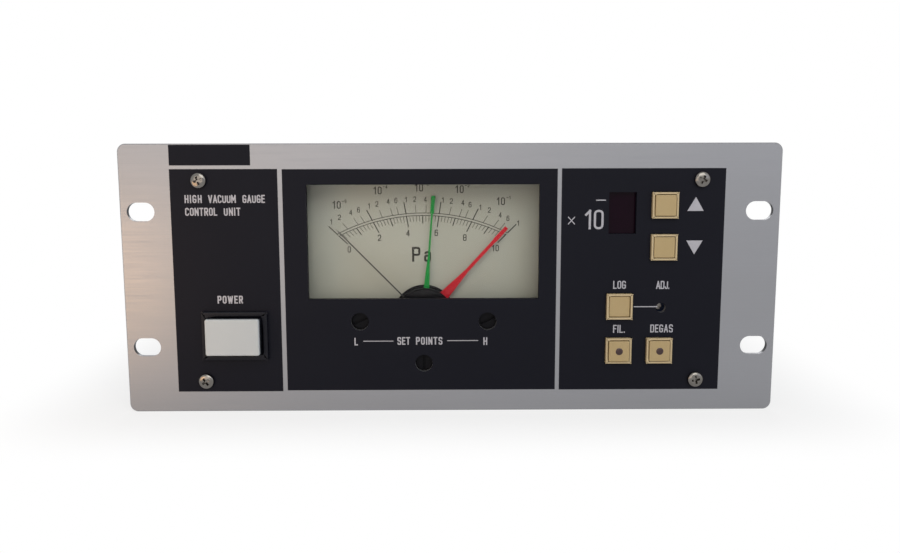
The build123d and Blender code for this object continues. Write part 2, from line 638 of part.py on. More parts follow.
def make_trimmer():
    """Square single-turn trimmer on the front board, with its slotted brass rotor."""
    face, rotor_front = 4.0, 2.2
    with BuildPart() as trimmer_body:
        with BuildSketch(front_plane(FRONT_BOARD_Y, TRIMMER_X, TRIMMER_Z)):
            Rectangle(9.5, 9.5)
        extrude(amount=FRONT_BOARD_Y - face)
    save(trimmer_body, "trimmer_body")
    with BuildPart() as trimmer_screw:
        with BuildSketch(front_plane(face, TRIMMER_X, TRIMMER_Z)):
            Circle(1.2)
        extrude(amount=face - rotor_front)
        with BuildSketch(front_plane(rotor_front + 0.6, TRIMMER_X, TRIMMER_Z)):
            Rectangle(3.0, 0.45, rotation=-35)
        extrude(amount=1.0, mode=Mode.SUBTRACT)
    save(trimmer_screw, "trimmer_screw")


def make_boards():
    """Front board for the switches and display, and the main board on the bottom cover."""
    with BuildPart() as front_board:
        with BuildSketch(front_plane(FRONT_BOARD_Y + BOARD_T)):
            with Locations((71.0, 0)):
                Rectangle(41.0, 83.0)
        extrude(amount=BOARD_T)
    save(front_board, "front_board")
    with BuildPart() as main_board:
        with BuildSketch(Plane.XY.offset(MAIN_BOARD_Z)):
            with Locations((35.5, 147.0)):
                Rectangle(112.0, 170.0)
        extrude(amount=BOARD_T)
    save(main_board, "main_board")


def make_supply():
    """Mains transformer, smoothing capacitors, set-point relays and amplifier shield."""
    core_x, core_y, core_w, core_h, stack = -55.0, 190.0, 66.0, 55.0, 33.0
    board_top = MAIN_BOARD_Z + BOARD_T
    with BuildPart() as transformer_core:
        with BuildSketch(front_plane(core_y + stack / 2, core_x, SIDE_BOTTOM + core_h / 2)):
            Rectangle(core_w, core_h)
            with GridLocations(33.0, 0, 2, 1):
                Rectangle(11.0, 33.0, mode=Mode.SUBTRACT)
        extrude(amount=stack)
    save(transformer_core, "transformer_core")
    with BuildPart() as transformer_winding:
        with BuildSketch(front_plane(core_y + stack / 2 + 10.0, core_x, SIDE_BOTTOM + core_h / 2)):
            Rectangle(44.0, 33.0)
        extrude(amount=stack + 20.0)
        with BuildSketch(front_plane(core_y + stack / 2, core_x, SIDE_BOTTOM + core_h / 2)):
            Rectangle(22.0, 33.0)
        extrude(amount=stack, mode=Mode.SUBTRACT)
    save(transformer_winding, "transformer_winding")
    with BuildPart() as filter_capacitors:
        with BuildSketch(Plane.XY.offset(board_top)):
            with Locations((-5, 205), (-5, 178)):
                Circle(11.0)
        extrude(amount=36.0)
    save(filter_capacitors, "filter_capacitors")
    with BuildPart() as set_point_relays:
        with BuildSketch(Plane.XY.offset(board_top)):
            with Locations((30, 212), (62, 212)):
                Rectangle(28.0, 12.5)
        extrude(amount=16.0)
    save(set_point_relays, "set_point_relays")
    with BuildPart() as electrometer_shield:
        with BuildSketch(Plane.XY.offset(board_top)):
            with Locations((50, 150)):
                Rectangle(60.0, 46.0)
        extrude(amount=24.0)
        offset(amount=-0.8, openings=electrometer_shield.faces().sort_by(Axis.Z)[0])
    save(electrometer_shield, "electrometer_shield")


def make_rear_fittings():
    """Gauge connector, collector jack, mains inlet, fuse, remote connector, earth screw."""
    with BuildPart() as gauge_connector:
        with BuildSketch(rear_plane(CASE_DEPTH, GAUGE_X, GAUGE_Z)):
            RectangleRounded(33.0, 33.0, 3.0)
        extrude(amount=2.5)
        with BuildSketch(rear_plane(CASE_DEPTH - 18.0, GAUGE_X, GAUGE_Z)):
            Circle(13.2)
        extrude(amount=34.0)
        with BuildSketch(rear_plane(CASE_DEPTH + 5.0, GAUGE_X, GAUGE_Z)):
            Circle(11.4)
        extrude(amount=12.0, mode=Mode.SUBTRACT)
        with BuildSketch(rear_plane(CASE_DEPTH + 6.0, GAUGE_X, GAUGE_Z)):
            with Locations((0, 11.2)):
                Rectangle(2.4, 2.0)
        extrude(amount=8.0)
    save(gauge_connector, "gauge_connector")
    with BuildPart() as collector_jack:
        with BuildSketch(rear_plane(CASE_DEPTH, JACK_X, JACK_Z)):
            RegularPolygon(7.0, 6, major_radius=False)
        extrude(amount=2.5)
        with BuildSketch(rear_plane(CASE_DEPTH + 2.5, JACK_X, JACK_Z)):
            Circle(4.75)
        extrude(amount=9.5)
        with BuildSketch(rear_plane(CASE_DEPTH + 2.5, JACK_X, JACK_Z)):
            Circle(4.1)
            Circle(1.6, mode=Mode.SUBTRACT)
        extrude(amount=9.5, mode=Mode.SUBTRACT)
    save(collector_jack, "collector_jack")
    with BuildPart() as mains_inlet:
        with BuildSketch(rear_plane(CASE_DEPTH, INLET_X, INLET_Z)):
            RectangleRounded(31.0, 24.0, 1.5)
        extrude(amount=2.2)
        with BuildSketch(rear_plane(CASE_DEPTH - 20.0, INLET_X, INLET_Z)):
            Rectangle(27.0, 19.6)
        extrude(amount=20.0)
        with BuildSketch(rear_plane(CASE_DEPTH + 2.2, INLET_X, INLET_Z)):
            with BuildLine():
                Polyline((-12.0, -8.0), (12.0, -8.0), (12.0, 3.0), (7.0, 8.0), (-7.0, 8.0), (-12.0, 3.0),
                         close=True)
            make_face()
        extrude(amount=-18.0, mode=Mode.SUBTRACT)
        with BuildSketch(rear_plane(CASE_DEPTH - 15.8, INLET_X, INLET_Z)):
            with Locations((-7.0, -2.0), (0, 2.0), (7.0, -2.0)):
                Rectangle(2.0, 4.0)
        extrude(amount=16.0)
    save(mains_inlet, "mains_inlet")
    with BuildPart() as fuse_holder:
        with BuildSketch(rear_plane(CASE_DEPTH, FUSE_X, FUSE_Z)):
            Circle(8.5)
        extrude(amount=2.5)
        with BuildSketch(rear_plane(CASE_DEPTH - 30.0, FUSE_X, FUSE_Z)):
            RegularPolygon(6.2, 8)
        extrude(amount=30.0)
        with BuildSketch(rear_plane(CASE_DEPTH - 24.0, FUSE_X, FUSE_Z)):
            Circle(5.0 + RUNNING)
        extrude(amount=26.5, mode=Mode.SUBTRACT)
    save(fuse_holder, "fuse_holder")
    with BuildPart() as fuse_cap:
        with BuildSketch(rear_plane(CASE_DEPTH + 2.6, FUSE_X, FUSE_Z)):
            Circle(6.4)
        extrude(amount=8.0)
        with BuildSketch(rear_plane(CASE_DEPTH - 22.0, FUSE_X, FUSE_Z)):
            Circle(5.0)
        extrude(amount=24.6)
        with BuildSketch(rear_plane(CASE_DEPTH + 9.2, FUSE_X, FUSE_Z)):
            Rectangle(14.0, 1.4)
        extrude(amount=3.0, mode=Mode.SUBTRACT)
    save(fuse_cap, "fuse_cap")
    with BuildPart() as remote_connector:
        with BuildSketch(rear_plane(CASE_DEPTH, REMOTE_X, REMOTE_Z)):
            Rectangle(53.0, 12.5)
        extrude(amount=1.0)
        with BuildSketch(rear_plane(CASE_DEPTH - 9.0, REMOTE_X, REMOTE_Z)):
            Rectangle(REMOTE_W - 0.4, REMOTE_H - 0.4)
        extrude(amount=9.0)
        with BuildSketch(rear_plane(CASE_DEPTH + 1.0, REMOTE_X, REMOTE_Z)):
            with BuildLine():
                Polyline((-19.2, 4.1), (19.2, 4.1), (17.8, -4.1), (-17.8, -4.1), close=True)
            make_face()
        extrude(amount=5.0)
        with BuildSketch(rear_plane(CASE_DEPTH + 6.0, REMOTE_X, REMOTE_Z)):
            with BuildLine():
                Polyline((-18.6, 3.5), (18.6, 3.5), (17.3, -3.5), (-17.3, -3.5), close=True)
            make_face()
            with BuildLine():
                Polyline((-17.6, 2.8), (17.6, 2.8), (16.5, -2.8), (-16.5, -2.8), close=True)
            make_face(mode=Mode.SUBTRACT)
        extrude(amount=-4.5, mode=Mode.SUBTRACT)
    save(remote_connector, "remote_connector")
    with BuildPart() as earth_screw:
        with BuildSketch(rear_plane(CASE_DEPTH, EARTH_X, EARTH_Z)):
            RegularPolygon(3.5, 6, major_radius=False)
        extrude(amount=2.8)
    save(earth_screw, "earth_screw")


make_front_panel()
make_panel_screws()
make_sub_panel()
make_side_plates()
make_covers()
make_rear_panel()
make_board_spacers()
make_meter_front()
make_meter_glass()
make_meter_case()
make_scale_plate()
make_pivot_cover()
make_pointer()
make_moving_coil()
make_movement_frame()
make_magnet()
set_hand("high_set_hand", HIGH_REST, 7.4, 5.3, COLLAR_R + RUNNING, HIGH_GEAR_FRONT,
         [(4.6, 4.2), (11.0, 3.7), (24.0, 1.25), (39.0, 1.25), (40.0, 1.6), (46.1, 1.4)])
set_hand("low_set_hand", LOW_REST, 8.8, 6.9, 5.3 + RUNNING, LOW_GEAR_FRONT,
         [(5.8, 2.3), (12.0, 2.0), (24.0, 0.68), (38.8, 0.68), (39.8, 1.45), (46.0, 1.45)])
sector_gear("high_set_gear", 0.0, (-SCALE_END - HIGH_REST, SCALE_END - HIGH_REST), 5.3, HIGH_GEAR_FRONT)
sector_gear("low_set_gear", 180.0, (-SCALE_END - LOW_REST, SCALE_END - LOW_REST), 6.9, LOW_GEAR_FRONT)
adjuster("low_adjuster", METER_X - ADJUSTER_REACH, LOW_GEAR_FRONT)
adjuster("high_adjuster", METER_X + ADJUSTER_REACH, HIGH_GEAR_FRONT)
make_zero_adjuster()
make_power_switch()
for switch_name, (switch_x, switch_z, cap_proud) in SWITCHES.items():
    make_switch(switch_name, switch_x, switch_z, cap_proud)
make_exponent_display()
make_trimmer()
make_boards()
make_supply()
make_rear_fittings()
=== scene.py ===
from math import atan2, cos, pi, radians, sin, sqrt

import bmesh
import bpy
from mathutils import Matrix, Vector


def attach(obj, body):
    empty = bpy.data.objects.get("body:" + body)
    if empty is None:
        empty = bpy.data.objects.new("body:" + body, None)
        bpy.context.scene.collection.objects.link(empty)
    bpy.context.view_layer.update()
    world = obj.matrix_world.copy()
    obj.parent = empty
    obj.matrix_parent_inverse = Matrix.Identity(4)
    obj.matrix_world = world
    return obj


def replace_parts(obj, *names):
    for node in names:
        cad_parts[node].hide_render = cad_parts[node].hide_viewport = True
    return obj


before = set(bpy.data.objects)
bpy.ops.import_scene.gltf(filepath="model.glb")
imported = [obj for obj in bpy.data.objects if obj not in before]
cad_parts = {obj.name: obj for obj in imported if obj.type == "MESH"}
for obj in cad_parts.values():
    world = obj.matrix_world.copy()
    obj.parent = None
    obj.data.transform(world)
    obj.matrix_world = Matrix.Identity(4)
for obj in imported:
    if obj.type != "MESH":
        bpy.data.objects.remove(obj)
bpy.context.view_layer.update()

# Sizes are in millimetres unless a comment says metres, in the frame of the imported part: X right,
# Y to the rear, Z up. A piece is built in millimetres and scaled to metres as it is finished.
MM = 0.001

# Places that the part's source gives
PANEL_FRONT, PANEL_BOTTOM = -2.0, -49.5
CASE_TOP, CASE_BOTTOM, REAR = 45.25, -46.75, 250.0
PANEL_SCREWS = ((-91.0, 36.3), (91.0, 36.3), (-91.0, -37.8), (91.0, -37.8))
METER_X, PIVOT_Z, ZERO_Z = -10.15, -15.65, -31.4
ADJUSTER_REACH, SHAFT_HOLE_R, ZERO_HOLE_R = 23.6, 3.3, 3.2
WINDOW = (METER_X, 13.7, 84.8, 42.0)
DIAL_FRONT, DIAL_BOTTOM = 10.5, -11.5
POINTER_FRONT, POINTER_T, POINTER_REST = 6.5, 0.2, -44.45
SWITCHES = {
    "up": (77.8, 27.0, 0.5),
    "down": (77.8, 11.7, 0.0),
    "log": (62.0, -10.2, -0.5),
    "filament": (62.0, -26.8, 0.8),
    "degas": (77.1, -26.8, 0.5),
}
SWITCH_W, WELL_W, CAP_W = 9.5, 8.0, 7.6
SWITCH_GAP, SWITCH_FRONT, WELL_END, CAP_BACK, BOARD_FRONT = 0.2, -3.6, 5.0, 1.8, 12.0
DISPLAY = (62.5, 24.2, 10.1, 15.2)
TRIMMER_HOLE = (77.5, -10.8, 1.8)
POWER_X, POWER_Z, BEZEL_FRONT, LENS_FRONT, LENS_T = -79.7, -20.4, -3.8, -7.8, 1.3
POWER_CUT_W, POWER_CUT_H, POWER_WELL_END, BODY_END = 22.4, 16.4, 14.0, 32.0
INLET, EARTH, GAUGE = (-74.0, -18.0), (-38.0, -26.0), (68.0, 16.0)
JACK, REMOTE = (22.0, 18.0), (50.0, -24.0)

# Places that the photograph gives: the eye, and how far the power switch's bezel lies below its key
EYE_X, EYE_Y, EYE_Z = -3.0, -308.7, 42.1
BEZEL_DROP = 0.25

# Thickness of the printed fields and of the arrows on them, and twice that of the ink on a cut edge
INK, ARROW_T, LINING = 0.04, 0.012, 0.06


# Camera

def place_camera():
    """The photograph's view, from just below the level of the panel's top edge and a little down."""
    yaw, pitch, roll = radians(0.48), radians(7.616), radians(-0.12)
    ahead = Vector((sin(yaw) * cos(pitch), cos(yaw) * cos(pitch), -sin(pitch)))
    data = bpy.data.cameras.new("camera")
    data.sensor_width, data.lens = 36.0, 33.71
    data.clip_start, data.clip_end = 0.01, 20.0
    camera = bpy.data.objects.new("camera", data)
    bpy.context.scene.collection.objects.link(camera)
    turn = ahead.to_track_quat("-Z", "Y").to_matrix() @ Matrix.Rotation(roll, 3, "Z")
    camera.matrix_world = Matrix.Translation(Vector((EYE_X, EYE_Y, EYE_Z)) * MM) @ turn.to_4x4()
    bpy.context.scene.camera = camera


# Materials

def linear(code):
    """An sRGB hex colour as linear red, green, blue and alpha."""
    parts = [int(code[i:i + 2], 16) / 255 for i in (1, 3, 5)]
    return tuple(c / 12.92 if c <= 0.04045 else ((c + 0.055) / 1.055) ** 2.4 for c in parts) + (1.0,)


def add_node(tree, kind, sockets=None, **settings):
    """Adds a node: settings are its own, and sockets are given a value or a link."""
    node = tree.nodes.new(kind)
    for name, value in settings.items():
        setattr(node, name, value)
    for name, value in (sockets or {}).items():
        if isinstance(value, bpy.types.NodeSocket):
            tree.links.new(value, node.inputs[name])
        else:
            node.inputs[name].default_value = value
    return node


def empty_material(name):
    """A new material and its tree of nodes, with no node in it."""
    material = bpy.data.materials.new(name)
    material.use_nodes = True
    tree = material.node_tree
    tree.nodes.clear()
    return material, tree


def show(tree, shader):
    """Makes a shader what the material shows."""
    add_node(tree, "ShaderNodeOutputMaterial", {"Surface": shader})


def millimetres(tree, stretch=(1, 1, 1)):
    """Object coordinates in millimetres, drawn out along an axis where stretch is small."""
    place = add_node(tree, "ShaderNodeTexCoord")
    return add_node(tree, "ShaderNodeMapping", {"Vector": place.outputs["Object"],
                    "Scale": [s / MM for s in stretch]}).outputs["Vector"]


def worked(name, colour, roughness, metallic=0.0, other=None, patch=12.0, grain=0.3, depth=0.01,
           spread=0.08, stretch=(1, 1, 1), **sockets):
    """A surface with slow drifts of colour over patch millimetres, and a grain of its own size
    that roughens it and stands depth millimetres high."""
    material, tree = empty_material(name)
    place = millimetres(tree, stretch)
    drift = add_node(tree, "ShaderNodeTexNoise", {"Vector": place, "Scale": 1 / patch, "Detail": 4.0})
    tint = add_node(tree, "ShaderNodeMix", {"Factor": drift.outputs["Fac"], "A": linear(colour),
                    "B": linear(other or colour)}, data_type="RGBA")
    fine = add_node(tree, "ShaderNodeTexNoise", {"Vector": place, "Scale": 1 / grain, "Detail": 3.0})
    rough = add_node(tree, "ShaderNodeMapRange", {"Value": fine.outputs["Fac"], "From Min": 0.3,
                     "From Max": 0.7, "To Min": roughness - spread, "To Max": roughness + spread})
    bump = add_node(tree, "ShaderNodeBump", {"Height": fine.outputs["Fac"], "Strength": 1.0,
                    "Distance": depth * MM})
    shader = add_node(tree, "ShaderNodeBsdfPrincipled", {"Base Color": tint.outputs["Result"],
                      "Metallic": metallic, "Roughness": rough.outputs["Result"],
                      "Normal": bump.outputs["Normal"], **sockets})
    show(tree, shader.outputs["BSDF"])
    return material


def take_down_sheen(material, level):
    """Lowers the mirror-like part of a dark surface, which the real one hardly has."""
    material.node_tree.nodes["Principled BSDF"].inputs["Specular IOR Level"].default_value = level


# Anodised aluminium, rolled: a soft satin grey whose lines run along the panel. Real lines are
# finer than the render can show, so they are drawn 0.35 mm apart.
anodised_aluminium = worked("anodised_aluminium", "#8b8c91", 0.42, metallic=0.85, other="#858689",
                            patch=30, grain=0.35, depth=0.0012, spread=0.05, stretch=(0.02, 1, 1))

# Brushed aluminium of the rear panel: brighter, with lines from side to side. These too are
# drawn coarser than the real ones, 0.3 mm apart.
brushed_aluminium = worked("brushed_aluminium", "#bfc0bf", 0.36, metallic=1.0, other="#b2b3b2",
                           patch=40, grain=0.3, depth=0.003, spread=0.08, stretch=(0.02, 1, 1))

# Screen-printed epoxy ink: an even satin black with the faintest bloom.
black_ink = worked("black_screen_ink", "#0a0b14", 0.5, other="#0e0f18", patch=25, grain=0.25,
                   depth=0.0015, spread=0.04)
take_down_sheen(black_ink, 0.1)

# Screen-printed lettering ink: pale grey, matt, a little uneven.
white_ink = worked("pale_lettering_ink", "#a8a8af", 0.6, other="#9c9ca3", patch=1.5, grain=0.2,
                   depth=0.001)

# Bright nickel plate of the screws and connector shells: a clear mirror with a few dull spots.
nickel_plate = worked("bright_nickel_plate", "#7d7a76", 0.17, metallic=1.0, other="#625e5a",
                      patch=1.2, grain=0.5, depth=0.004, spread=0.08)

# Zinc-plated sheet steel: grey with bluish and yellowish clouds about 14 mm across.
zinc_plate = worked("zinc_plated_steel", "#aeb0ae", 0.34, metallic=1.0, other="#a7a08b", patch=14,
                    grain=0.6, depth=0.003)

# Baked enamel on the case: grey, with the fine orange peel of a sprayed coat.
case_enamel = worked("grey_baked_enamel", "#7b7e7c", 0.5, other="#747775", patch=50, grain=0.7,
                     depth=0.03, spread=0.06)

# Phenolic moulding of the meter and its pivot cap: deep black with a moulded sheen.
black_phenolic = worked("black_phenolic_moulding", "#121116", 0.34, other="#18171b", patch=8,
                        grain=0.35, depth=0.004)
take_down_sheen(black_phenolic, 0.15)

# Steel of the three slotted adjusters, coloured near black and given hardly any shine as painted shade of
# the deep holes they sit in.
shade_darkened_steel = worked("shade_darkened_steel", "#08080c", 0.45, other="#0c0c10", patch=3, grain=0.2,
                         depth=0.003)
take_down_sheen(shade_darkened_steel, 0.08)

# Baked dial enamel: a matt pale grey that has yellowed in clouds.
dial_enamel = worked("yellowed_dial_enamel", "#a6a8a1", 0.6, other="#a7a396", patch=28, grain=0.15,
                     depth=0.002, spread=0.05)

# Dial printing: a thin brown-black ink.
dial_ink = worked("dial_printing_ink", "#262522", 0.6, other="#34322e", patch=1.0, grain=0.15,
                  depth=0.001)
take_down_sheen(dial_ink, 0.25)

# Matt lacquer on the pointer: black with no shine, so that the thin needle reads as one line.
pointer_lacquer = worked("matt_black_lacquer", "#151516", 0.6, other="#222222", patch=3, grain=0.1,
                         depth=0.001)

# Sprayed signal paint on the two set-point hands: strong green and red with a soft sheen.
green_paint = worked("green_signal_paint", "#0b8f3a", 0.55, other="#0a8034", patch=4, grain=0.15,
                     depth=0.002)
red_paint = worked("red_signal_paint", "#c61d2d", 0.55, other="#b61626", patch=4, grain=0.15,
                   depth=0.002)
take_down_sheen(green_paint, 0.2)
take_down_sheen(red_paint, 0.2)

# Machined brass of the set-point gears and the earth screw: warm yellow, bright where it is cut.
cut_brass = worked("machined_brass", "#c8a866", 0.28, metallic=1.0, other="#b8965a", patch=6,
                   grain=0.2, depth=0.003)

# Die-cast alloy of the movement's frame: dull, with a sandy skin.
cast_alloy = worked("die_cast_alloy", "#9b9b99", 0.5, metallic=1.0, other="#8d8d8b", patch=5,
                    grain=0.4, depth=0.02)

# Ground iron of the meter's yoke and core: dark grey with straight grinding lines.
ground_iron = worked("ground_iron", "#77777a", 0.32, metallic=1.0, other="#6b6b6e", patch=8,
                     grain=0.25, depth=0.004, stretch=(0.1, 1, 1))

# Enamelled copper wire of the wound coil: red-brown, with its turns as fine ridges.
copper_wire = worked("enamelled_copper_wire", "#a4552c", 0.3, metallic=0.7, other="#8a4322",
                     patch=1, grain=0.1, depth=0.02, stretch=(1, 6, 1))

# Aged beige ABS of the push switches: the caps a shade yellower than their frames.
beige_cap = worked("aged_beige_abs", "#a8936b", 0.42, other="#a38e61", patch=5, grain=0.2,
                   depth=0.003, spread=0.05)
beige_frame = worked("pale_beige_abs", "#b8a683", 0.4, other="#b3a07a", patch=5, grain=0.2,
                     depth=0.003, spread=0.05)

# Moulded ABS of the power switch: nearly black with a blue cast and a low gloss.
navy_abs = worked("blue_black_abs", "#0f1017", 0.32, other="#13141c", patch=6, grain=0.25,
                  depth=0.003)
take_down_sheen(navy_abs, 0.15)

# Milky acrylic of the power switch's lens: light sinks a little way in.
milky_acrylic = worked("milky_white_acrylic", "#b1b7ba", 0.32, other="#adb3b6", patch=10, grain=0.3,
                       depth=0.002, spread=0.04)
milky = milky_acrylic.node_tree.nodes["Principled BSDF"].inputs
milky["Subsurface Weight"].default_value = 0.25
milky["Subsurface Radius"].default_value = (0.002, 0.002, 0.0018)

# Dark red acrylic over the digit: almost black, with a wine-coloured depth.
red_acrylic = worked("dark_red_acrylic", "#10000a", 0.16, other="#150212", patch=6, grain=2.0,
                     depth=0.004, spread=0.03)
take_down_sheen(red_acrylic, 0.08)

# Cast epoxy resin of the unlit lamps: a dull red-brown that scatters what light it takes in.
lamp_resin = worked("unlit_red_resin", "#33140f", 0.3, other="#260e0d", patch=0.8, grain=0.2,
                    depth=0.002)

# Moulded glass-filled nylon of the inlet, fuse holder and connectors: black with a dry grain.
black_nylon = worked("black_glass_filled_nylon", "#1b1b1c", 0.48, other="#222223", patch=6,
                     grain=0.2, depth=0.008)

# Moulded polyester of the trimmer: a dull dark blue.
blue_moulding = worked("blue_trimmer_moulding", "#2c3a5c", 0.35, other="#263352", patch=3, grain=0.2,
                       depth=0.003)

# Moulded polycarbonate covers of the relays: smooth amber with a wet gloss.
relay_amber = worked("amber_relay_cover", "#a8823e", 0.2, other="#94702f", patch=8, grain=0.6,
                     depth=0.003)

# Film shrunk round the capacitors: dark blue with slow ripples.
sleeve_film = worked("shrunk_sleeve_film", "#1c2748", 0.3, other="#161f3c", patch=9, grain=0.8,
                     depth=0.01)

# Polyester tape round the transformer's winding: yellow, in bands that show its edges.
winding_tape = worked("yellow_winding_tape", "#c9ad3c", 0.4, other="#bb9c30", patch=6, grain=0.9,
                      depth=0.02, stretch=(1, 0.2, 1))

# Varnished stack of steel laminations: dark brown, in thin stripes with a wet sheen.
core_varnish = worked("varnished_laminations", "#2b2724", 0.4, metallic=0.3, other="#39332d",
                      patch=7, grain=0.5, depth=0.03, stretch=(0.03, 1, 0.03))

# Epoxy-glass board under green resist: the copper tracks show through it as paler lines.
board_resist = worked("green_resist_board", "#1f5a33", 0.32, other="#2f7a45", patch=1.6, grain=0.4,
                      depth=0.01, stretch=(0.12, 1, 1))

# Turned PTFE of the collector jack's sleeve: waxy white.
white_ptfe = worked("white_ptfe", "#dcdcd8", 0.4, other="#d2d2cc", patch=2, grain=0.2, depth=0.003)

# Gold flash on the contacts and pins: thin, bright and warm.
gold_flash = worked("gold_flashed_contacts", "#d8b45c", 0.22, metallic=1.0, other="#c8a24c",
                    patch=1, grain=0.2, depth=0.002)


def make_window_glass():
    """Thin float glass: clear, with the faint reflection of a polished pane."""
    material, tree = empty_material("clear_window_glass")
    rim = add_node(tree, "ShaderNodeFresnel", {"IOR": 1.15})
    dust = add_node(tree, "ShaderNodeTexNoise", {"Vector": millimetres(tree), "Scale": 1 / 15,
                    "Detail": 5.0})
    haze = add_node(tree, "ShaderNodeMapRange", {"Value": dust.outputs["Fac"], "From Min": 0.35,
                    "From Max": 0.75, "To Min": 0.02, "To Max": 0.09})
    clear = add_node(tree, "ShaderNodeBsdfTransparent", {"Color": linear("#fdfefd")})
    mirror = add_node(tree, "ShaderNodeBsdfGlossy", {"Color": linear("#ffffff"),
                      "Roughness": haze.outputs["Result"]})
    pane = add_node(tree, "ShaderNodeMixShader", {"Fac": rim.outputs["Fac"],
                    1: clear.outputs["BSDF"], 2: mirror.outputs["BSDF"]})
    show(tree, pane.outputs["Shader"])
    return material


# A depth between the face of the digit and the floor of its segments
SEGMENT_DEPTH = 2.65


def make_display_face():
    """Grey face of the digit with pale, unlit segments, which lie deeper than the face does."""
    material, tree = empty_material("digit_face_epoxy")
    place = add_node(tree, "ShaderNodeTexCoord")
    depth = add_node(tree, "ShaderNodeSeparateXYZ", {"Vector": place.outputs["Object"]})
    deep = add_node(tree, "ShaderNodeMath", {0: depth.outputs["Y"], 1: SEGMENT_DEPTH * MM},
                    operation="GREATER_THAN")
    speck = add_node(tree, "ShaderNodeTexNoise", {"Vector": millimetres(tree), "Scale": 3.0})
    cloud = add_node(tree, "ShaderNodeMix", {"Factor": speck.outputs["Fac"], "A": linear("#3a3838"),
                     "B": linear("#2f2d2d")}, data_type="RGBA")
    tint = add_node(tree, "ShaderNodeMix", {"Factor": deep.outputs["Value"],
                    "A": cloud.outputs["Result"], "B": linear("#b8a8a4")}, data_type="RGBA")
    shader = add_node(tree, "ShaderNodeBsdfPrincipled", {"Base Color": tint.outputs["Result"],
                      "Roughness": 0.45})
    show(tree, shader.outputs["BSDF"])
    return material


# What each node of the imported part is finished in
FINISH = {
    "front_panel": anodised_aluminium, "rear_panel": brushed_aluminium, "sub_panel": zinc_plate,
    "electrometer_shield": zinc_plate, "remote_connector": zinc_plate,
    "side_plate_left": case_enamel, "side_plate_right": case_enamel, "top_cover": case_enamel,
    "bottom_cover": case_enamel, "panel_screws": nickel_plate, "board_spacers": nickel_plate,
    "gauge_connector": nickel_plate, "collector_jack": nickel_plate, "earth_screw": cut_brass,
    "meter_front": black_phenolic, "meter_case": black_phenolic, "pivot_cover": black_phenolic,
    "low_adjuster": shade_darkened_steel, "high_adjuster": shade_darkened_steel,
    "zero_adjuster": shade_darkened_steel, "meter_glass": make_window_glass(),
    "scale_plate": dial_enamel, "pointer": pointer_lacquer, "low_set_hand": green_paint,
    "high_set_hand": red_paint, "low_set_gear": cut_brass, "high_set_gear": cut_brass,
    "movement_frame": cast_alloy, "magnet_ring": ground_iron, "magnet_core": ground_iron,
    "moving_coil": copper_wire, "power_switch": navy_abs, "power_button": navy_abs,
    "power_lens": milky_acrylic, "display_filter": red_acrylic,
    "exponent_display": make_display_face(), "filament_lamp": lamp_resin,
    "degas_lamp": lamp_resin, "trimmer_body": blue_moulding, "trimmer_screw": nickel_plate,
    "front_board": board_resist, "main_board": board_resist, "transformer_core": core_varnish,
    "transformer_winding": winding_tape, "filter_capacitors": sleeve_film,
    "set_point_relays": relay_amber, "mains_inlet": black_nylon, "fuse_holder": black_nylon,
    "fuse_cap": black_nylon,
}

for switch in SWITCHES:
    FINISH[f"{switch}_switch"] = beige_frame
    FINISH[f"{switch}_button"] = beige_cap
for node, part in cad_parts.items():
    part.data.materials.clear()
    part.data.materials.append(FINISH[node])


# Making pieces

# In millimetres, how near two depths, two points, or a point and a cut count as one
SAME, MERGE, CUT = 1e-6, 1e-4, 1e-5


def finish_piece(name, shape, material, body, crease=35):
    """Scales a shape to metres, shades it smooth up to a crease, and puts it on a body."""
    bmesh.ops.scale(shape, vec=(MM, MM, MM), verts=shape.verts)
    mesh = bpy.data.meshes.new(name)
    shape.to_mesh(mesh)
    shape.free()
    mesh.shade_smooth()
    mesh.set_sharp_from_angle(angle=radians(crease))
    mesh.materials.append(material)
    piece = bpy.data.objects.new(name, mesh)
    bpy.context.scene.collection.objects.link(piece)
    flat = piece.modifiers.new("flat_faces_stay_flat", "WEIGHTED_NORMAL")
    flat.keep_sharp = True
    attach(piece, body)
    return piece


def copy_into(shape, other):
    """Adds one shape to another and frees it."""
    mesh = bpy.data.meshes.new("spare")
    other.to_mesh(mesh)
    other.free()
    shape.from_mesh(mesh)
    bpy.data.meshes.remove(mesh)


def stand(parts):
    """One shape of small ones set in place, each given as (shape, x, y, z, way)."""
    shape = bmesh.new()
    for part, x, y, z, way in parts:
        bmesh.ops.transform(part, matrix=facing(x, y, z, way), verts=part.verts)
        copy_into(shape, part)
    return shape


def facing(x, y, z, way):
    """The place and turn that point a shape's Z axis to the front, rear, top or bottom."""
    turn = {"front": Matrix.Rotation(pi / 2, 4, "X"), "rear": Matrix.Rotation(-pi / 2, 4, "X"),
            "top": Matrix.Identity(4), "bottom": Matrix.Rotation(pi, 4, "X")}[way]
    return Matrix.Translation((x, y, z)) @ turn


def round_edges(shape, edges, size, steps):
    """Rounds edges by that size, in so many steps."""
    bmesh.ops.bevel(shape, geom=edges, offset=size, segments=steps, profile=0.5, affect="EDGES",
                    material=-1)


def upright_block(width, height, front, back, x, z, corner):
    """A block whose four sides along Y meet in rounded corners."""
    shape = bmesh.new()
    bmesh.ops.create_cube(shape, size=1)
    bmesh.ops.scale(shape, vec=(width, back - front, height), verts=shape.verts)
    bmesh.ops.translate(shape, vec=(x, (front + back) / 2, z), verts=shape.verts)
    sides = [e for e in shape.edges if abs(e.verts[0].co.y - e.verts[1].co.y) > SAME]
    round_edges(shape, sides, corner, 5)
    return shape


def rounded_block(width, height, front, back, x, z, corner, edge):
    """A block whose sides along Y and whose front rim are rounded."""
    shape = upright_block(width, height, front, back, x, z, corner)
    round_edges(shape, list(front_face(shape).edges), edge, 3)
    return shape


def front_face(shape):
    """The foremost face, and the largest one where several lie level."""
    shape.faces.ensure_lookup_table()
    return min(shape.faces, key=lambda f: (round(f.calc_center_median().y, 5), -f.calc_area()))


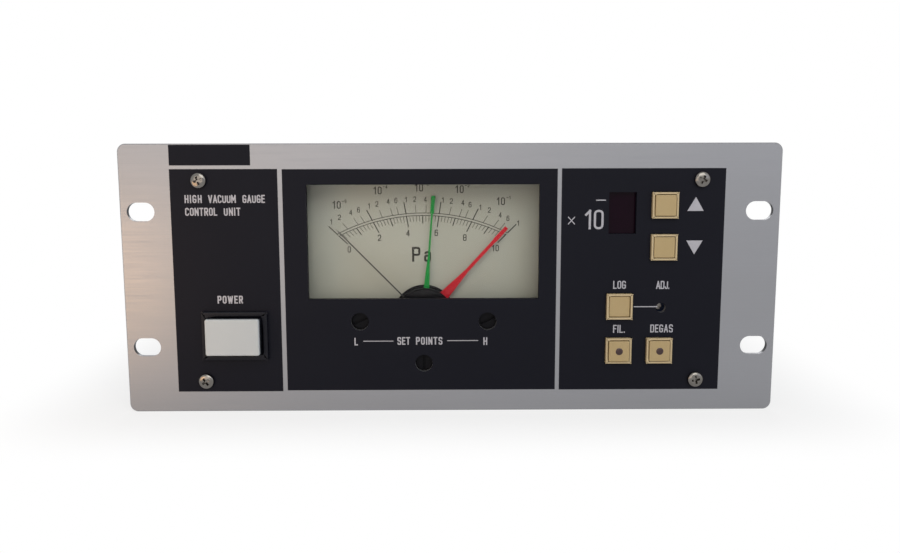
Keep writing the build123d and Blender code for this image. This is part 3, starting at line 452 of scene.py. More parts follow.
def rounded_frame(outer, opening, front, floor, back, x, z, corner, edge):
    """A block with a well in its front, and soft rims outside and inside."""
    shape = upright_block(*outer, front, back, x, z, corner)
    face = front_face(shape)
    wall = (outer[0] - opening[0]) / 2
    bmesh.ops.inset_region(shape, faces=[face], thickness=wall, use_even_offset=True)
    centre = Matrix.Translation((-x, 0, -z))
    bmesh.ops.scale(shape, vec=(1, 1, opening[1] / (outer[1] - 2 * wall)), space=centre,
                    verts=face.verts)
    ring = [f for f in shape.faces if abs(f.calc_center_median().y - front) < SAME and f != face]
    bmesh.ops.inset_region(shape, faces=[face], thickness=0, depth=front - floor)
    round_edges(shape, [e for e in shape.edges if sum(f in ring for f in e.link_faces) == 1], edge, 3)
    return shape


def turned(profile, steps=40):
    """Spins a profile of (radius, height) pairs round the Z axis."""
    shape = bmesh.new()
    points = [shape.verts.new((radius, 0, height)) for radius, height in profile]
    chain = [shape.edges.new(pair) for pair in zip(points, points[1:])]
    bmesh.ops.spin(shape, geom=points + chain, cent=(0, 0, 0), axis=(0, 0, 1), angle=2 * pi,
                   steps=steps, use_merge=True)
    bmesh.ops.remove_doubles(shape, verts=shape.verts, dist=MERGE)
    bmesh.ops.recalc_face_normals(shape, faces=shape.faces)
    return shape


def cross_head(radius, height, blade, span, turn):
    """A domed screw head with a cross recess that narrows as it goes down: blade is half the
    width of its arms, and span is how far they reach."""
    dome = [(0, height)]
    for k in range(1, 8):
        slope = k * pi / 14
        dome.append((radius * sin(slope) ** 0.9, height * (0.42 + 0.58 * cos(slope) ** 0.7)))
    shape = turned(dome + [(radius, height * 0.2), (radius * 0.96, 0), (0, 0)])
    for limit in (blade, span):
        for way in ((1, 0, 0), (0, 1, 0)):
            for side in (-1, 1):
                bmesh.ops.bisect_plane(shape, geom=shape.verts[:] + shape.edges[:] + shape.faces[:],
                                       dist=CUT, plane_co=Vector(way) * side * limit, plane_no=way)
    arms = [f for f in shape.faces
            if f.normal.z > 0.3 and in_cross(f.calc_center_median(), blade, span)]
    bmesh.ops.inset_region(shape, faces=arms, thickness=blade * 0.2, depth=-height * 0.7,
                           use_even_offset=True)
    bmesh.ops.rotate(shape, matrix=Matrix.Rotation(turn, 3, "Z"), verts=shape.verts)
    return shape


def in_cross(place, blade, span):
    """Whether a point lies on one of the cross's two arms."""
    near, far = sorted((abs(place.x), abs(place.y)))
    return near < blade and far < span


# Printing on the panel

def box_points(x, z, width, height):
    """The corners of a box about its middle."""
    return [(x - width / 2, z - height / 2), (x + width / 2, z - height / 2),
            (x + width / 2, z + height / 2), (x - width / 2, z + height / 2)]


def film(outlines, front, back, rings=(), steps=56):
    """A thin sheet between two depths. Its holes are all outlines but the first, and the rings,
    each given as (x, z, radius)."""
    shape = bmesh.new()
    for points in outlines:
        corners = [shape.verts.new((x, back, z)) for x, z in points]
        for pair in zip(corners, corners[1:] + corners[:1]):
            shape.edges.new(pair)
    for x, z, radius in rings:
        bmesh.ops.create_circle(shape, segments=steps, radius=radius, matrix=facing(x, back, z, "front"))
    made = bmesh.ops.triangle_fill(shape, use_beauty=True, use_dissolve=True, edges=shape.edges[:])
    faces = [g for g in made["geom"] if isinstance(g, bmesh.types.BMFace)]
    grown = bmesh.ops.extrude_face_region(shape, geom=faces, use_keep_orig=True)
    risen = [g for g in grown["geom"] if isinstance(g, bmesh.types.BMVert)]
    bmesh.ops.translate(shape, vec=(0, front - back, 0), verts=risen)
    bmesh.ops.recalc_face_normals(shape, faces=shape.faces)
    return shape


def printed_field(name, left, right, bottom, top, boxes, holes):
    """A printed black area with its openings. Its ink also covers the cut edges of the boxes."""
    front = PANEL_FRONT - INK
    outline = box_points((left + right) / 2, (bottom + top) / 2, right - left, top - bottom)
    shape = film([outline] + [box_points(*box) for box in boxes], front, PANEL_FRONT, holes)
    for x, z, width, height in boxes:
        # The ink on the cut edges is painted shade in the narrow gaps round the switch frames, where the
        # bare edges would only be shadowed.
        edge_ink_and_shade = [box_points(x, z, width - cut, height - cut) for cut in (0.0, LINING)]
        copy_into(shape, film(edge_ink_and_shade, front, 0.0))
    finish_piece(name, shape, black_ink, "chassis")


def print_panel():
    """Three black fields and the small black block above the first."""
    power = (POWER_X, POWER_Z, POWER_CUT_W, POWER_CUT_H)
    printed_field("left_field", -101.6, -62.7, -41.9, 40.4, [power], [])
    shafts = [(METER_X + side * ADJUSTER_REACH, PIVOT_Z, SHAFT_HOLE_R) for side in (-1, 1)]
    shafts.append((METER_X, ZERO_Z, ZERO_HOLE_R))
    printed_field("meter_field", -61.05, 38.65, -41.6, 40.3, [WINDOW], shafts)
    cut = SWITCH_W + 2 * SWITCH_GAP
    caps = [(x, z, cut, cut) for x, z, proud in SWITCHES.values()]
    printed_field("switch_field", 40.15, 99.7, -41.7, 40.4, [DISPLAY] + caps, [TRIMMER_HOLE])
    printed_field("top_block", -101.5, -72.3, 41.7, 49.07, [], [])


# Letters and figures as strokes on a square of 1 by 1. The first number is the width over the
# height. Each stroke starts with its kind: "l" has straight sides that reach half a stroke past
# their ends, "o" is smooth and open, and "c" is smooth and closed.
GLYPHS = {
    "A": (0.44, "l 0,0 .5,1 1,0|l .17,.3 .83,.3"),
    "C": (0.4, "o 1,.74 1,1 0,1 0,.6 0,.4 0,0 1,0 1,.26"),
    "D": (0.4, "l 0,0 0,1|o 0,1 .45,1 1,1 1,.65 1,.35 1,0 .45,0 0,0"),
    "E": (0.34, "l 1,1 0,1 0,0 1,0|l 0,.52 .85,.52"),
    "F": (0.34, "l 1,1 0,1 0,0|l 0,.52 .85,.52"),
    "G": (0.4, "o 1,.74 1,1 0,1 0,.6 0,.4 0,0 1,0 1,.25 1,.46|l 1,.46 .55,.46"),
    "H": (0.4, "l 0,0 0,1|l 1,0 1,1|l 0,.5 1,.5"),
    "I": (0.0, "l 0,0 0,1"),
    "J": (0.32, "o 1,1 1,.6 1,.3 1,0 0,0 0,.28"),
    "L": (0.34, "l 0,1 0,0 1,0"),
    "M": (0.5, "l 0,0 0,1 .5,.35 1,1 1,0"),
    "N": (0.42, "l 0,0 0,1 1,0 1,1"),
    "O": (0.4, "c 0,.6 0,1 1,1 1,.6 1,.4 1,0 0,0 0,.4"),
    "P": (0.4, "l 0,0 0,1|o 0,1 .5,1 1,1 1,.73 1,.46 .5,.46 0,.46"),
    "R": (0.4, "l 0,0 0,1|o 0,1 .5,1 1,1 1,.73 1,.47 .5,.47 0,.47|l .5,.47 1,0"),
    "S": (0.4, "o 1,.74 1,1 .5,1 0,1 0,.76 0,.54 .5,.5 1,.46 1,.24 1,0 .5,0 0,0 0,.26"),
    "T": (0.4, "l 0,1 1,1|l .5,1 .5,0"),
    "U": (0.4, "o 0,1 0,.6 0,.4 0,0 1,0 1,.4 1,.6 1,1"),
    "V": (0.44, "l 0,1 .5,0 1,1"),
    "W": (0.62, "l 0,1 .25,0 .5,.9 .75,0 1,1"),
    ".": (0.0, "l 0,0 0,.03"),
    "-": (0.5, "l 0,.5 1,.5"),
    "x": (1.0, "l 0,0 1,1|l 0,1 1,0"),
    "0": (0.44, "c 0,.6 0,1 1,1 1,.6 1,.4 1,0 0,0 0,.4"),
    "1": (0.22, "l 0,.78 1,1|l 1,1 1,0"),
    "2": (0.46, "o 0,.7 0,1 .5,1 1,1 1,.7 1,.52 .5,.3 0,.14 0,0|l 0,0 1,0"),
    "3": (0.44, "o 0,.76 0,1 .5,1 1,1 1,.76 1,.54 .45,.53|"
                "o .45,.53 1,.5 1,.26 1,0 .5,0 0,0 0,.24"),
    "4": (0.5, "l .72,0 .72,1 0,.28 1,.28"),
    "5": (0.44, "l .95,1 .1,1 .04,.52|o .04,.52 .3,.64 1,.66 1,.32 1,0 .5,0 0,0 0,.2"),
    "6": (0.46, "c 0,.3 0,.6 .5,.6 1,.6 1,.3 1,0 .5,0 0,0|"
                "o 0,.3 0,.6 .05,.9 .5,1 .95,1 1,.82"),
    "8": (0.46, "c 0,.77 0,1 .5,1 1,1 1,.77 1,.53 .5,.53 0,.53|"
                "c 0,.27 0,.53 .5,.53 1,.53 1,.27 1,0 .5,0 0,0"),
    "a": (0.62, "o .05,.78 .1,1 .5,1 .92,1 .92,.7 .92,.3 .92,0 1.05,0|"
                "o .92,.6 .5,.6 0,.56 0,.28 0,0 .45,0 .85,0 .92,.35"),
}


def new_ink():
    """A curve that holds the strokes of some lettering, each as wide as its points' radius."""
    ink = bpy.data.curves.new("ink", "CURVE")
    ink.dimensions = "3D"
    ink.bevel_depth = 0.5
    ink.bevel_resolution = 2
    ink.use_fill_caps = True
    ink.resolution_u = 4
    return ink


def draw(ink, points, stroke, kind="l"):
    """Draws a stroke of one of the kinds above, or of kind "s": the points joined as they are."""
    if kind == "l":
        for (x0, z0), (x1, z1) in zip(points, points[1:]):
            grow = 0.5 * stroke / max(1e-6, sqrt((x1 - x0) ** 2 + (z1 - z0) ** 2))
            dx, dz = (x1 - x0) * grow, (z1 - z0) * grow
            draw(ink, [(x0 - dx, z0 - dz), (x1 + dx, z1 + dz)], stroke, "s")
        return
    spline = ink.splines.new("POLY" if kind == "s" else "NURBS")
    spline.points.add(len(points) - 1)
    for place, (x, z) in zip(spline.points, points):
        place.co = (x, 0, z, 1)
        place.radius = stroke
    if kind != "s":
        spline.order_u = 3
        spline.use_endpoint_u = kind == "o"
        spline.use_cyclic_u = kind == "c"


def write(ink, text, left, right, bottom, height, stroke, widen=1.0):
    """Writes text between two sides. Letters keep their shape, and the gaps take up the rest."""
    tall = height - stroke
    widths = [GLYPHS[letter][0] * tall * widen for letter in text]
    gap = (right - left - stroke - sum(widths)) / max(1, len(text) - 1)
    x, foot = left + stroke / 2, bottom + stroke / 2
    for letter, width in zip(text, widths):
        for path in GLYPHS[letter][1].split("|"):
            kind, *pairs = path.split()
            points = [tuple(map(float, pair.split(","))) for pair in pairs]
            draw(ink, [(x + u * width, foot + v * tall) for u, v in points], stroke, kind)
        x += width + gap


# How thick a pressed stroke is, over its width
PRESSED = 0.06


def print_ink(name, ink, depth, material):
    """Presses the strokes flat onto a surface at that depth and makes them a piece."""
    rod = bpy.data.objects.new("rod", ink)
    bpy.context.scene.collection.objects.link(rod)
    mesh = bpy.data.meshes.new_from_object(rod.evaluated_get(bpy.context.evaluated_depsgraph_get()))
    bpy.data.objects.remove(rod)
    shape = bmesh.new()
    shape.from_mesh(mesh)
    bpy.data.meshes.remove(mesh)
    bmesh.ops.scale(shape, vec=(1, PRESSED, 1), verts=shape.verts)
    bmesh.ops.translate(shape, vec=(0, depth, 0), verts=shape.verts)
    finish_piece(name, shape, material, "chassis", crease=60)


def letter_panel():
    """The panel's words, lines and arrows, all in one pale ink."""
    front = PANEL_FRONT - INK
    ink, height, stroke = new_ink(), 2.9, 0.46
    for word, left, right, bottom in (
            ("HIGH", -96.4, -90.2, 28.2), ("VACUUM", -87.9, -77.9, 28.2), ("GAUGE", -75.5, -67.4, 28.2),
            ("CONTROL", -96.4, -84.8, 23.6), ("UNIT", -82.4, -76.4, 23.6)):
        write(ink, word, left, right, bottom, height, stroke)
    write(ink, "POWER", -85.9, -76.6, -8.7, height, stroke + 0.04)
    print_ink("left_lettering", ink, front, white_ink)
    ink = new_ink()
    for word, left, right, bottom in (("L", -35.9, -34.4, -24.6), ("SET", -20.0, -15.3, -24.4),
                                      ("POINTS", -13.1, -3.3, -24.4), ("H", 11.9, 13.6, -24.6)):
        write(ink, word, left, right, bottom, height, stroke)
    draw(ink, [(-32.5, -23.0), (-21.6, -23.0)], 0.3)
    draw(ink, [(-1.4, -22.9), (9.8, -22.9)], 0.3)
    print_ink("meter_lettering", ink, front, white_ink)
    ink, height, stroke = new_ink(), 3.0, 0.42
    for word, left, right, bottom in (("LOG", 59.65, 64.35, -3.7), ("ADJ.", 75.5, 80.4, -3.8),
                                      ("FIL.", 60.0, 64.4, -20.2), ("DEGAS", 73.8, 82.2, -20.1)):
        write(ink, word, left, right, bottom, height, stroke)
    draw(ink, [(67.6, -10.4), (76.0, -10.4)], 0.35)
    write(ink, "x", 42.6, 45.1, 20.1, 2.8, 0.34, widen=0.9)
    write(ink, "10", 48.8, 55.6, 18.3, 7.1, 0.8)
    draw(ink, [(52.9, 28.9), (56.1, 28.9)], 0.38)
    print_ink("switch_lettering", ink, front, white_ink)
    for name, tip, base in (("up_arrow", 30.0, 24.9), ("down_arrow", 9.0, 14.1)):
        arrow = film([[(86.07, base), (92.07, base), (89.07, tip)]], front - ARROW_T, front)
        finish_piece(name, arrow, white_ink, "chassis")


# Dial

# The two arcs are flattened: their middle lies below the pivot that the scale turns about
ARC_X, ARC_Z, ARC_OUTER, ARC_INNER, ARC_STEPS = -10.45, -47.0, 70.7, 69.73, 48
SCALE_START, SCALE_END = -46.4, 45.0

# How far into a decade 2, 4 and 6 lie
DECADE_PARTS = (0.301, 0.602, 0.778)

# How many times as far from the point straight before the eye a mark on the dial lies as it looks
# to lie on the panel's face
DIAL_SPREAD = 1.0407

# The gap from one figure to the next, over their height
FIGURE_GAP = 0.36


def on_dial(x, z):
    """Where a mark lies on the dial if it is seen at (x, z) on the panel's face."""
    return EYE_X + (x - EYE_X) * DIAL_SPREAD, EYE_Z + (z - EYE_Z) * DIAL_SPREAD


def arc_reach(turn, radius):
    """How far from the pivot the flattened arc of that radius lies, at an angle from upright."""
    drop = PIVOT_Z - ARC_Z
    return sqrt(radius ** 2 - (drop * sin(turn)) ** 2) - drop * cos(turn)


def arc_turn(degrees, radius):
    """The same point's angle about the middle of the arc."""
    turn = radians(degrees)
    reach = arc_reach(turn, radius)
    return atan2(sin(turn) * reach, cos(turn) * reach + PIVOT_Z - ARC_Z)


def dial_tick(ink, degrees, radius, length, stroke):
    """A tick that points to the pivot and starts on an arc."""
    turn = radians(degrees)
    near = arc_reach(turn, radius)
    ends = [(METER_X + r * sin(turn), PIVOT_Z + r * cos(turn)) for r in (near, near + length)]
    draw(ink, ends, stroke)


def figure(ink, text, x, z, height, stroke):
    """Writes a number about its middle, as seen at (x, z) on the panel's face."""
    x, z = on_dial(x, z)
    tall = height - stroke
    gaps = (len(text) - 1) * FIGURE_GAP * height
    width = sum(GLYPHS[c][0] for c in text) * tall + gaps + stroke
    write(ink, text, x - width / 2, x + width / 2, z - height / 2, height, stroke)


def print_dial():
    """Two arcs with a 0 to 10 scale below them and five decades above, and the unit."""
    ink = new_ink()
    for radius in (ARC_OUTER, ARC_INNER):
        low, high = arc_turn(SCALE_START, radius), arc_turn(SCALE_END, radius)
        turns = [low + (high - low) * k / ARC_STEPS for k in range(ARC_STEPS + 1)]
        draw(ink, [(ARC_X + radius * sin(t), ARC_Z + radius * cos(t)) for t in turns], 0.25, "s")
    for k in range(51):
        length, stroke = (4.1, 0.38) if k % 10 == 0 else (2.9, 0.36) if k % 5 == 0 else (2.1, 0.19)
        dial_tick(ink, SCALE_START + (SCALE_END - SCALE_START) * k / 50, ARC_INNER, -length, stroke)
    one_decade = (SCALE_END - SCALE_START) / 5
    for decade in range(6):
        dial_tick(ink, SCALE_START + one_decade * decade, ARC_OUTER, 4.3, 0.38)
        for part in DECADE_PARTS:
            if decade < 5:
                dial_tick(ink, SCALE_START + one_decade * (decade + part), ARC_OUTER, 2.9, 0.2)
    print_ink("dial_scales", ink, DIAL_FRONT, dial_ink)
    ink = new_ink()
    for text, x, z in (("0", -37.2, 11.2), ("2", -26.1, 15.4), ("4", -15.7, 17.1), ("6", -5.4, 17.2),
                       ("8", 5.0, 15.4), ("10", 16.2, 11.5)):
        figure(ink, text, x, z, 2.45, 0.34)
    small = ((-43.6, 21.3), (-40.6, 22.9), (-36.4, 24.7), (-33.6, 25.6), (-29.8, 27.0), (-26.9, 27.7),
             (-22.8, 28.6), (-20.0, 29.0), (-16.4, 29.3), (-13.2, 29.4), (-9.3, 29.3), (-6.8, 29.3),
             (-3.0, 29.1), (0.1, 28.7), (4.3, 28.1), (6.9, 27.4), (10.6, 26.4), (13.9, 25.4),
             (17.9, 23.6), (20.7, 22.4), (24.4, 20.6))
    for k, (x, z) in enumerate(small):
        figure(ink, "1246"[k % 4], x, z, 2.05, 0.27)
    for power, x, z in (("-5", -41.5, 27.4), ("-4", -26.6, 32.6), ("-3", -11.6, 33.6),
                        ("-2", 3.1, 33.0), ("-1", 18.1, 28.6)):
        figure(ink, "10", x, z, 2.9, 0.38)
        figure(ink, power, x + 2.75, z + 1.3, 1.3, 0.22)
    left, bottom = on_dial(-14.3, 6.6)
    write(ink, "P", left, left + 3.3, bottom, 5.7, 0.84, widen=1.2)
    left, bottom = on_dial(-9.9, 6.6)
    write(ink, "a", left, left + 3.4, bottom, 4.0, 0.8)
    print_ink("dial_figures", ink, DIAL_FRONT, dial_ink)


# Front fittings

def make_screws():
    """Panel screws, each left at its own angle, and the cover and rear-panel screws."""
    heads = [(cross_head(2.85, 1.9, 0.42, 1.55, radians(turn)), x, PANEL_FRONT, z, "front")
             for (x, z), turn in zip(PANEL_SCREWS, (20, 65, 35, 10))]
    screws = finish_piece("panel_screw_heads", stand(heads), nickel_plate, "chassis", crease=40)
    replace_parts(screws, "panel_screws")
    places = [(x, y, z, way) for x in (-96.5, 96.5) for y in (22.0, 125.0, 228.0)
              for z, way in ((CASE_TOP, "top"), (CASE_BOTTOM, "bottom"))]
    places += [(x, REAR, z, "rear") for x in (-96.0, 96.0) for z in (38.5, -40.0)]
    heads = [(cross_head(2.4, 1.4, 0.36, 1.3, radians(37 * k)), *place) for k, place in enumerate(places)]
    finish_piece("case_screw_heads", stand(heads), nickel_plate, "chassis", crease=40)


def make_switches():
    """Five square push switches: soft-edged frames, caps and two small lamps."""
    dome = [(0, 0.22), (0.5, 0.2), (1.0, 0.12), (1.35, 0.0), (1.45, -0.1), (1.45, -0.4), (0, -0.4)]
    for name, (x, z, proud) in SWITCHES.items():
        housing = rounded_frame((SWITCH_W, SWITCH_W), (WELL_W, WELL_W), SWITCH_FRONT, WELL_END,
                                BOARD_FRONT, x, z, corner=0.35, edge=0.18)
        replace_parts(finish_piece(f"{name}_frame", housing, beige_frame, "chassis"), f"{name}_switch")
        cap_front = SWITCH_FRONT - proud
        cap = rounded_block(CAP_W, CAP_W, cap_front, CAP_BACK, x, z, corner=0.35, edge=0.28)
        body = f"{name}_key"
        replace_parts(finish_piece(f"{name}_cap", cap, beige_cap, body), f"{name}_button")
        if name in ("filament", "degas"):
            lamp = stand([(turned(dome), x, cap_front, z, "front")])
            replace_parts(finish_piece(f"{name}_lamp_dome", lamp, lamp_resin, body), f"{name}_lamp")


def make_power_switch():
    """Push switch with a rounded bezel, a body with four terminals and a soft-edged lens."""
    shape = rounded_frame((24.2, 18.1), (20.6, 14.4), BEZEL_FRONT, POWER_WELL_END, PANEL_FRONT,
                          POWER_X, POWER_Z - BEZEL_DROP, corner=0.9, edge=0.4)
    rear = [f for f in shape.faces
            if f.normal.y > 0.9 and abs(f.calc_center_median().y - PANEL_FRONT) < MERGE]
    bmesh.ops.inset_region(shape, faces=rear, thickness=1.1, use_even_offset=True)
    bmesh.ops.inset_region(shape, faces=rear, thickness=0, depth=BODY_END - PANEL_FRONT)
    for x in (-5.0, 5.0):
        for z in (-3.5, 3.5):
            copy_into(shape, rounded_block(0.8, 4.0, BODY_END - 0.5, BODY_END + 6.0, POWER_X + x,
                                           POWER_Z + z, corner=0.1, edge=0.1))
    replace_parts(finish_piece("power_bezel_and_body", shape, navy_abs, "chassis"), "power_switch")
    lens = rounded_block(19.7, 13.5, LENS_FRONT, LENS_FRONT + LENS_T, POWER_X, POWER_Z, corner=0.8,
                         edge=0.55)
    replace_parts(finish_piece("milky_lens", lens, milky_acrylic, "power_key"), "power_lens")


def make_pointer():
    """Flat needle that ends at the scale's arc, with its hub and counterweight."""
    outline = [(0.22, 14.0), (0.2, 45.0), (0.0, 47.2), (-0.2, 45.0), (-0.22, 14.0), (-0.7, 2.0),
               (-0.7, -6.0), (-1.5, -6.2), (-1.5, -8.2), (1.5, -8.2), (1.5, -6.2), (0.7, -6.0),
               (0.7, 2.0)]
    back = POINTER_FRONT + POINTER_T
    shape = film([outline], POINTER_FRONT, back)
    hub = turned([(0.6, 0), (2.2, 0), (2.2, 0.2), (1.9, 0.3), (0.6, 0.3), (0.6, 0)], 32)
    copy_into(shape, stand([(hub, 0, back, 0, "front")]))
    bmesh.ops.rotate(shape, matrix=Matrix.Rotation(radians(POINTER_REST), 3, "Y"), verts=shape.verts)
    bmesh.ops.translate(shape, vec=(METER_X, 0, PIVOT_Z), verts=shape.verts)
    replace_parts(finish_piece("pointer_needle", shape, pointer_lacquer, "meter_movement"), "pointer")


def make_hub_rim():
    """Low black rim on the dial, behind the hands, which ends just above the dial's lower edge."""
    rim = stand([(turned([(8.0, 0.0), (12.0, 0.0), (12.0, 0.4), (11.5, 0.9), (8.0, 0.9)], 64),
                  METER_X, DIAL_FRONT, PIVOT_Z, "front")])
    bmesh.ops.bisect_plane(rim, geom=rim.verts[:] + rim.edges[:] + rim.faces[:], dist=CUT,
                           plane_co=(0, 0, DIAL_BOTTOM + 0.1), plane_no=(0, 0, 1), clear_inner=True)
    bmesh.ops.holes_fill(rim, edges=[e for e in rim.edges if e.is_boundary])
    finish_piece("pivot_rim", rim, black_phenolic, "chassis", crease=40)


# Rear fittings

def make_gauge_socket():
    """Insulating face with eight gold pins, a screw thread round the shell and flange screws."""
    x, z = GAUGE
    insert = turned([(0, 0.28), (11.0, 0.28), (11.25, 0.1), (11.25, 0), (0, 0)], 64)
    finish_piece("gauge_socket_insert", stand([(insert, x, REAR + 5, z, "rear")]), black_phenolic,
                 "chassis")
    pins = []
    for k in range(8):
        turn = 2 * pi * k / 8 + 0.2
        pin = turned([(0, 8.0), (0.35, 7.9), (0.75, 7.2), (0.75, 0), (0, 0)], 16)
        pins.append((pin, x + 6.6 * cos(turn), REAR + 5.2, z + 6.6 * sin(turn), "rear"))
    finish_piece("gauge_socket_pins", stand(pins), gold_flash, "chassis")
    profile = [(13.0, 0.0)]
    for k in range(7):
        profile += [(13.2, 0.15 + k), (13.6, 0.4 + k), (13.6, 0.6 + k), (13.2, 0.85 + k)]
    thread = turned(profile + [(13.0, 7.0), (13.0, 0.0)], 72)
    finish_piece("gauge_socket_thread", stand([(thread, x, REAR + 8, z, "rear")]), nickel_plate,
                 "chassis", crease=25)
    corners = ((-12.9, -12.9), (12.9, -12.9), (-12.9, 12.9), (12.9, 12.9))
    heads = [(cross_head(2.1, 1.3, 0.32, 1.15, 0.7 * k), x + dx, REAR + 2.5, z + dz, "rear")
             for k, (dx, dz) in enumerate(corners)]
    finish_piece("gauge_socket_screws", stand(heads), nickel_plate, "chassis", crease=40)


def make_collector_jack():
    """White sleeve and gold contact inside the jack, and its two bayonet lugs."""
    x, z = JACK
    sleeve = turned([(1.65, 0), (3.0, 0), (3.0, 7.4), (2.8, 7.6), (1.65, 7.6), (1.65, 0)])
    finish_piece("jack_sleeve", stand([(sleeve, x, REAR + 2.5, z, "rear")]), white_ptfe, "chassis")
    contact = turned([(0.5, 0), (1.5, 0), (1.5, 0.1), (1.1, 0.25), (0.5, 0.25), (0.5, 0)], 24)
    finish_piece("jack_contact", stand([(contact, x, REAR + 12, z, "rear")]), gold_flash, "chassis")
    lugs = [(turned([(0, 1.0), (0.75, 1.0), (0.95, 0.8), (0.95, -0.4), (0, -0.4)], 20),
             x, REAR + 8.5, z + side * 4.75, way) for side, way in ((1, "top"), (-1, "bottom"))]
    finish_piece("jack_bayonet_lugs", stand(lugs), nickel_plate, "chassis")


def make_remote_socket():
    """Black face with 25 gold contacts in two rows, and a hexagonal post at each side."""
    x, z = REMOTE
    pitch, row_z, hole_r = 2.77, 1.35, 0.5
    floor, middle, outer = REAR + 6.0, REAR + 6.04, REAR + 6.3
    face = [(x + dx, z + dz) for dx, dz in ((-17.5, 2.7), (-16.4, -2.7), (16.4, -2.7), (17.5, 2.7))]
    holes = [(x + pitch * (k - 6), z + row_z, hole_r) for k in range(13)]
    holes += [(x + pitch * (k - 5.5), z - row_z, hole_r) for k in range(12)]
    finish_piece("remote_contacts", film([face], floor, middle), gold_flash, "chassis")
    finish_piece("remote_insulator", film([face], middle, outer, holes, 12), black_nylon, "chassis")
    profile = [(1.2, 3.8), (1.2, 4.8), (2.3, 4.8), (2.5, 4.5), (2.5, 0), (0, 0), (0, 3.8), (1.2, 3.8)]
    posts = [(turned(profile, 6), x + side * 23.5, REAR + 1, z, "rear") for side in (-1, 1)]
    finish_piece("remote_lock_posts", stand(posts), nickel_plate, "chassis", crease=25)


def make_inlet_and_earth():
    """Three nickel blades in the mains inlet, and the washer under the earth screw."""
    x, z = INLET
    blades = bmesh.new()
    for dx, dz in ((-7.0, -2.0), (0.0, 2.0), (7.0, -2.0)):
        blade = rounded_block(2.1, 4.1, -REAR - 0.4, -REAR + 15.7, x + dx, z + dz, corner=0.3, edge=0.5)
        bmesh.ops.scale(blade, vec=(1, -1, 1), verts=blade.verts)
        bmesh.ops.recalc_face_normals(blade, faces=blade.faces)
        copy_into(blades, blade)
    finish_piece("inlet_blades", blades, nickel_plate, "chassis")
    x, z = EARTH
    washer = turned([(0, 0.5), (4.9, 0.5), (5.2, 0.25), (5.2, 0), (0, 0)], 48)
    finish_piece("earth_washer", stand([(washer, x, REAR, z, "rear")]), nickel_plate, "chassis")


# Stage

# In metres: the ground where the floor turns a lit grey, painted shadow that also takes the real one, and
# how far out it ends
SHADE_MIDDLE, SHADE_REACH, SHADE_FADE = (0, 0.124, 0), (0.12, 0.126, 0), 0.075
FLOOR_HALF = 4.0

# Each lamp's place and size in metres, its power in watts and its colour
LAMPS = (
    ("front_high", (0.2, -0.93, 0.75), 0.8, 6.2, "#fffdf8"),
    ("front_left", (-0.2, -0.55, 0.05), 0.4, 0.7, "#ffeedd"),
    ("low_left", (-0.18, -0.12, -0.03), 0.1, 0.09, "#ffc88c"),
    ("soft_right", (0.8, -0.7, 0.4), 0.6, 1.0, "#dfe6ff"),
    ("soft_rear", (0.1, 1.0, 0.7), 0.8, 4.0, "#ffffff"),
)
LIT_POINT = Vector((0, 0.05, 0))


def seen_directly(tree):
    """One for rays that show the white backdrop: to the eye, in metal and through glass."""
    rays = add_node(tree, "ShaderNodeLightPath")
    either = add_node(tree, "ShaderNodeMath", {0: rays.outputs["Is Camera Ray"],
                      1: rays.outputs["Is Glossy Ray"]}, operation="MAXIMUM")
    return add_node(tree, "ShaderNodeMath", {0: either.outputs["Value"],
                    1: rays.outputs["Is Transmission Ray"]}, operation="MAXIMUM").outputs["Value"]


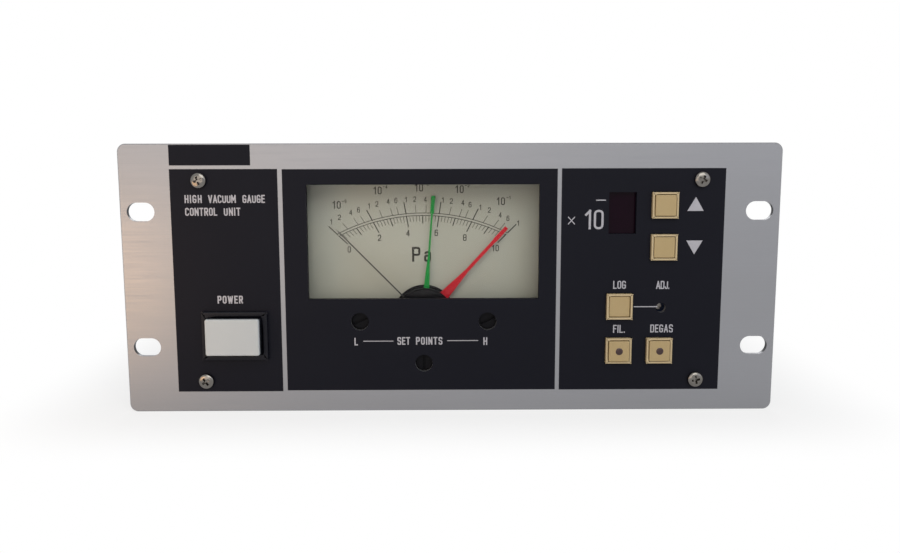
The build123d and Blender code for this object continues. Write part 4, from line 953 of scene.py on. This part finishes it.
def make_floor():
    """White floor that touches the panel's lower edge and the rear of the case, with a lit grey round
    them as painted shadow.
    """
    material, tree = empty_material("white_studio_floor")
    place = add_node(tree, "ShaderNodeTexCoord")
    middle = add_node(tree, "ShaderNodeVectorMath", {0: place.outputs["Object"], 1: SHADE_MIDDLE},
                      operation="SUBTRACT")
    folded = add_node(tree, "ShaderNodeVectorMath", {0: middle.outputs["Vector"]}, operation="ABSOLUTE")
    beyond = add_node(tree, "ShaderNodeVectorMath", {0: folded.outputs["Vector"], 1: SHADE_REACH},
                      operation="SUBTRACT")
    outside = add_node(tree, "ShaderNodeVectorMath", {0: beyond.outputs["Vector"], 1: (0, 0, 0)},
                       operation="MAXIMUM")
    apart = add_node(tree, "ShaderNodeVectorMath", {0: outside.outputs["Vector"]}, operation="LENGTH")
    painted_shadow_fade = add_node(tree, "ShaderNodeMapRange", {"Value": apart.outputs["Value"], "From Min": 0.0,
                    "From Max": SHADE_FADE, "To Min": 0.0, "To Max": 1.0},
                    interpolation_type="SMOOTHSTEP")
    seen = add_node(tree, "ShaderNodeMath", {0: seen_directly(tree), 1: painted_shadow_fade.outputs["Result"]},
                    operation="MULTIPLY")
    # The chalk's grey near the object is painted shadow, darker than the shadow that the lamps cast on it
    # alone.
    painted_shadow_chalk = add_node(tree, "ShaderNodeBsdfDiffuse", {"Color": (0.8, 0.8, 0.8, 1)})
    glow = add_node(tree, "ShaderNodeEmission", {"Color": (1, 1, 1, 1), "Strength": 1.0})
    both = add_node(tree, "ShaderNodeMixShader", {"Fac": seen.outputs["Value"],
                    1: painted_shadow_chalk.outputs["BSDF"], 2: glow.outputs["Emission"]})
    show(tree, both.outputs["Shader"])
    shape = bmesh.new()
    bmesh.ops.create_grid(shape, x_segments=1, y_segments=1, size=FLOOR_HALF)
    tilt = Matrix.Rotation(atan2(CASE_BOTTOM - PANEL_BOTTOM, REAR), 4, "X")
    lower = Matrix.Translation((0, 0, PANEL_BOTTOM * MM))
    bmesh.ops.transform(shape, matrix=lower @ tilt, verts=shape.verts)
    mesh = bpy.data.meshes.new("floor")
    shape.to_mesh(mesh)
    shape.free()
    mesh.materials.append(material)
    floor = bpy.data.objects.new("floor", mesh)
    bpy.context.scene.collection.objects.link(floor)


def make_world():
    """Dim sky that lights the object, and a white one that shows behind it."""
    world = bpy.data.worlds.new("studio")
    bpy.context.scene.world = world
    world.use_nodes = True
    tree = world.node_tree
    tree.nodes.clear()
    dim = add_node(tree, "ShaderNodeBackground", {"Color": linear("#eef1f6"), "Strength": 0.45})
    white = add_node(tree, "ShaderNodeBackground", {"Color": (1, 1, 1, 1), "Strength": 1.0})
    both = add_node(tree, "ShaderNodeMixShader", {"Fac": seen_directly(tree),
                    1: dim.outputs["Background"], 2: white.outputs["Background"]})
    add_node(tree, "ShaderNodeOutputWorld", {"Surface": both.outputs["Shader"]})


def make_lamps():
    """Soft square lamps, each aimed at a point just behind the panel."""
    for name, place, size, power, colour in LAMPS:
        lamp = bpy.data.lights.new(name, "AREA")
        lamp.energy, lamp.size, lamp.color = power, size, linear(colour)[:3]
        thing = bpy.data.objects.new(name, lamp)
        thing.location = place
        thing.rotation_euler = (LIT_POINT - Vector(place)).to_track_quat("-Z", "Y").to_euler()
        bpy.context.scene.collection.objects.link(thing)


place_camera()
print_panel()
letter_panel()
print_dial()
make_screws()
make_switches()
make_power_switch()
make_pointer()
make_hub_rim()
make_gauge_socket()
make_collector_jack()
make_remote_socket()
make_inlet_and_earth()
make_floor()
make_world()
make_lamps()
bpy.context.scene.view_settings.view_transform = "Standard"
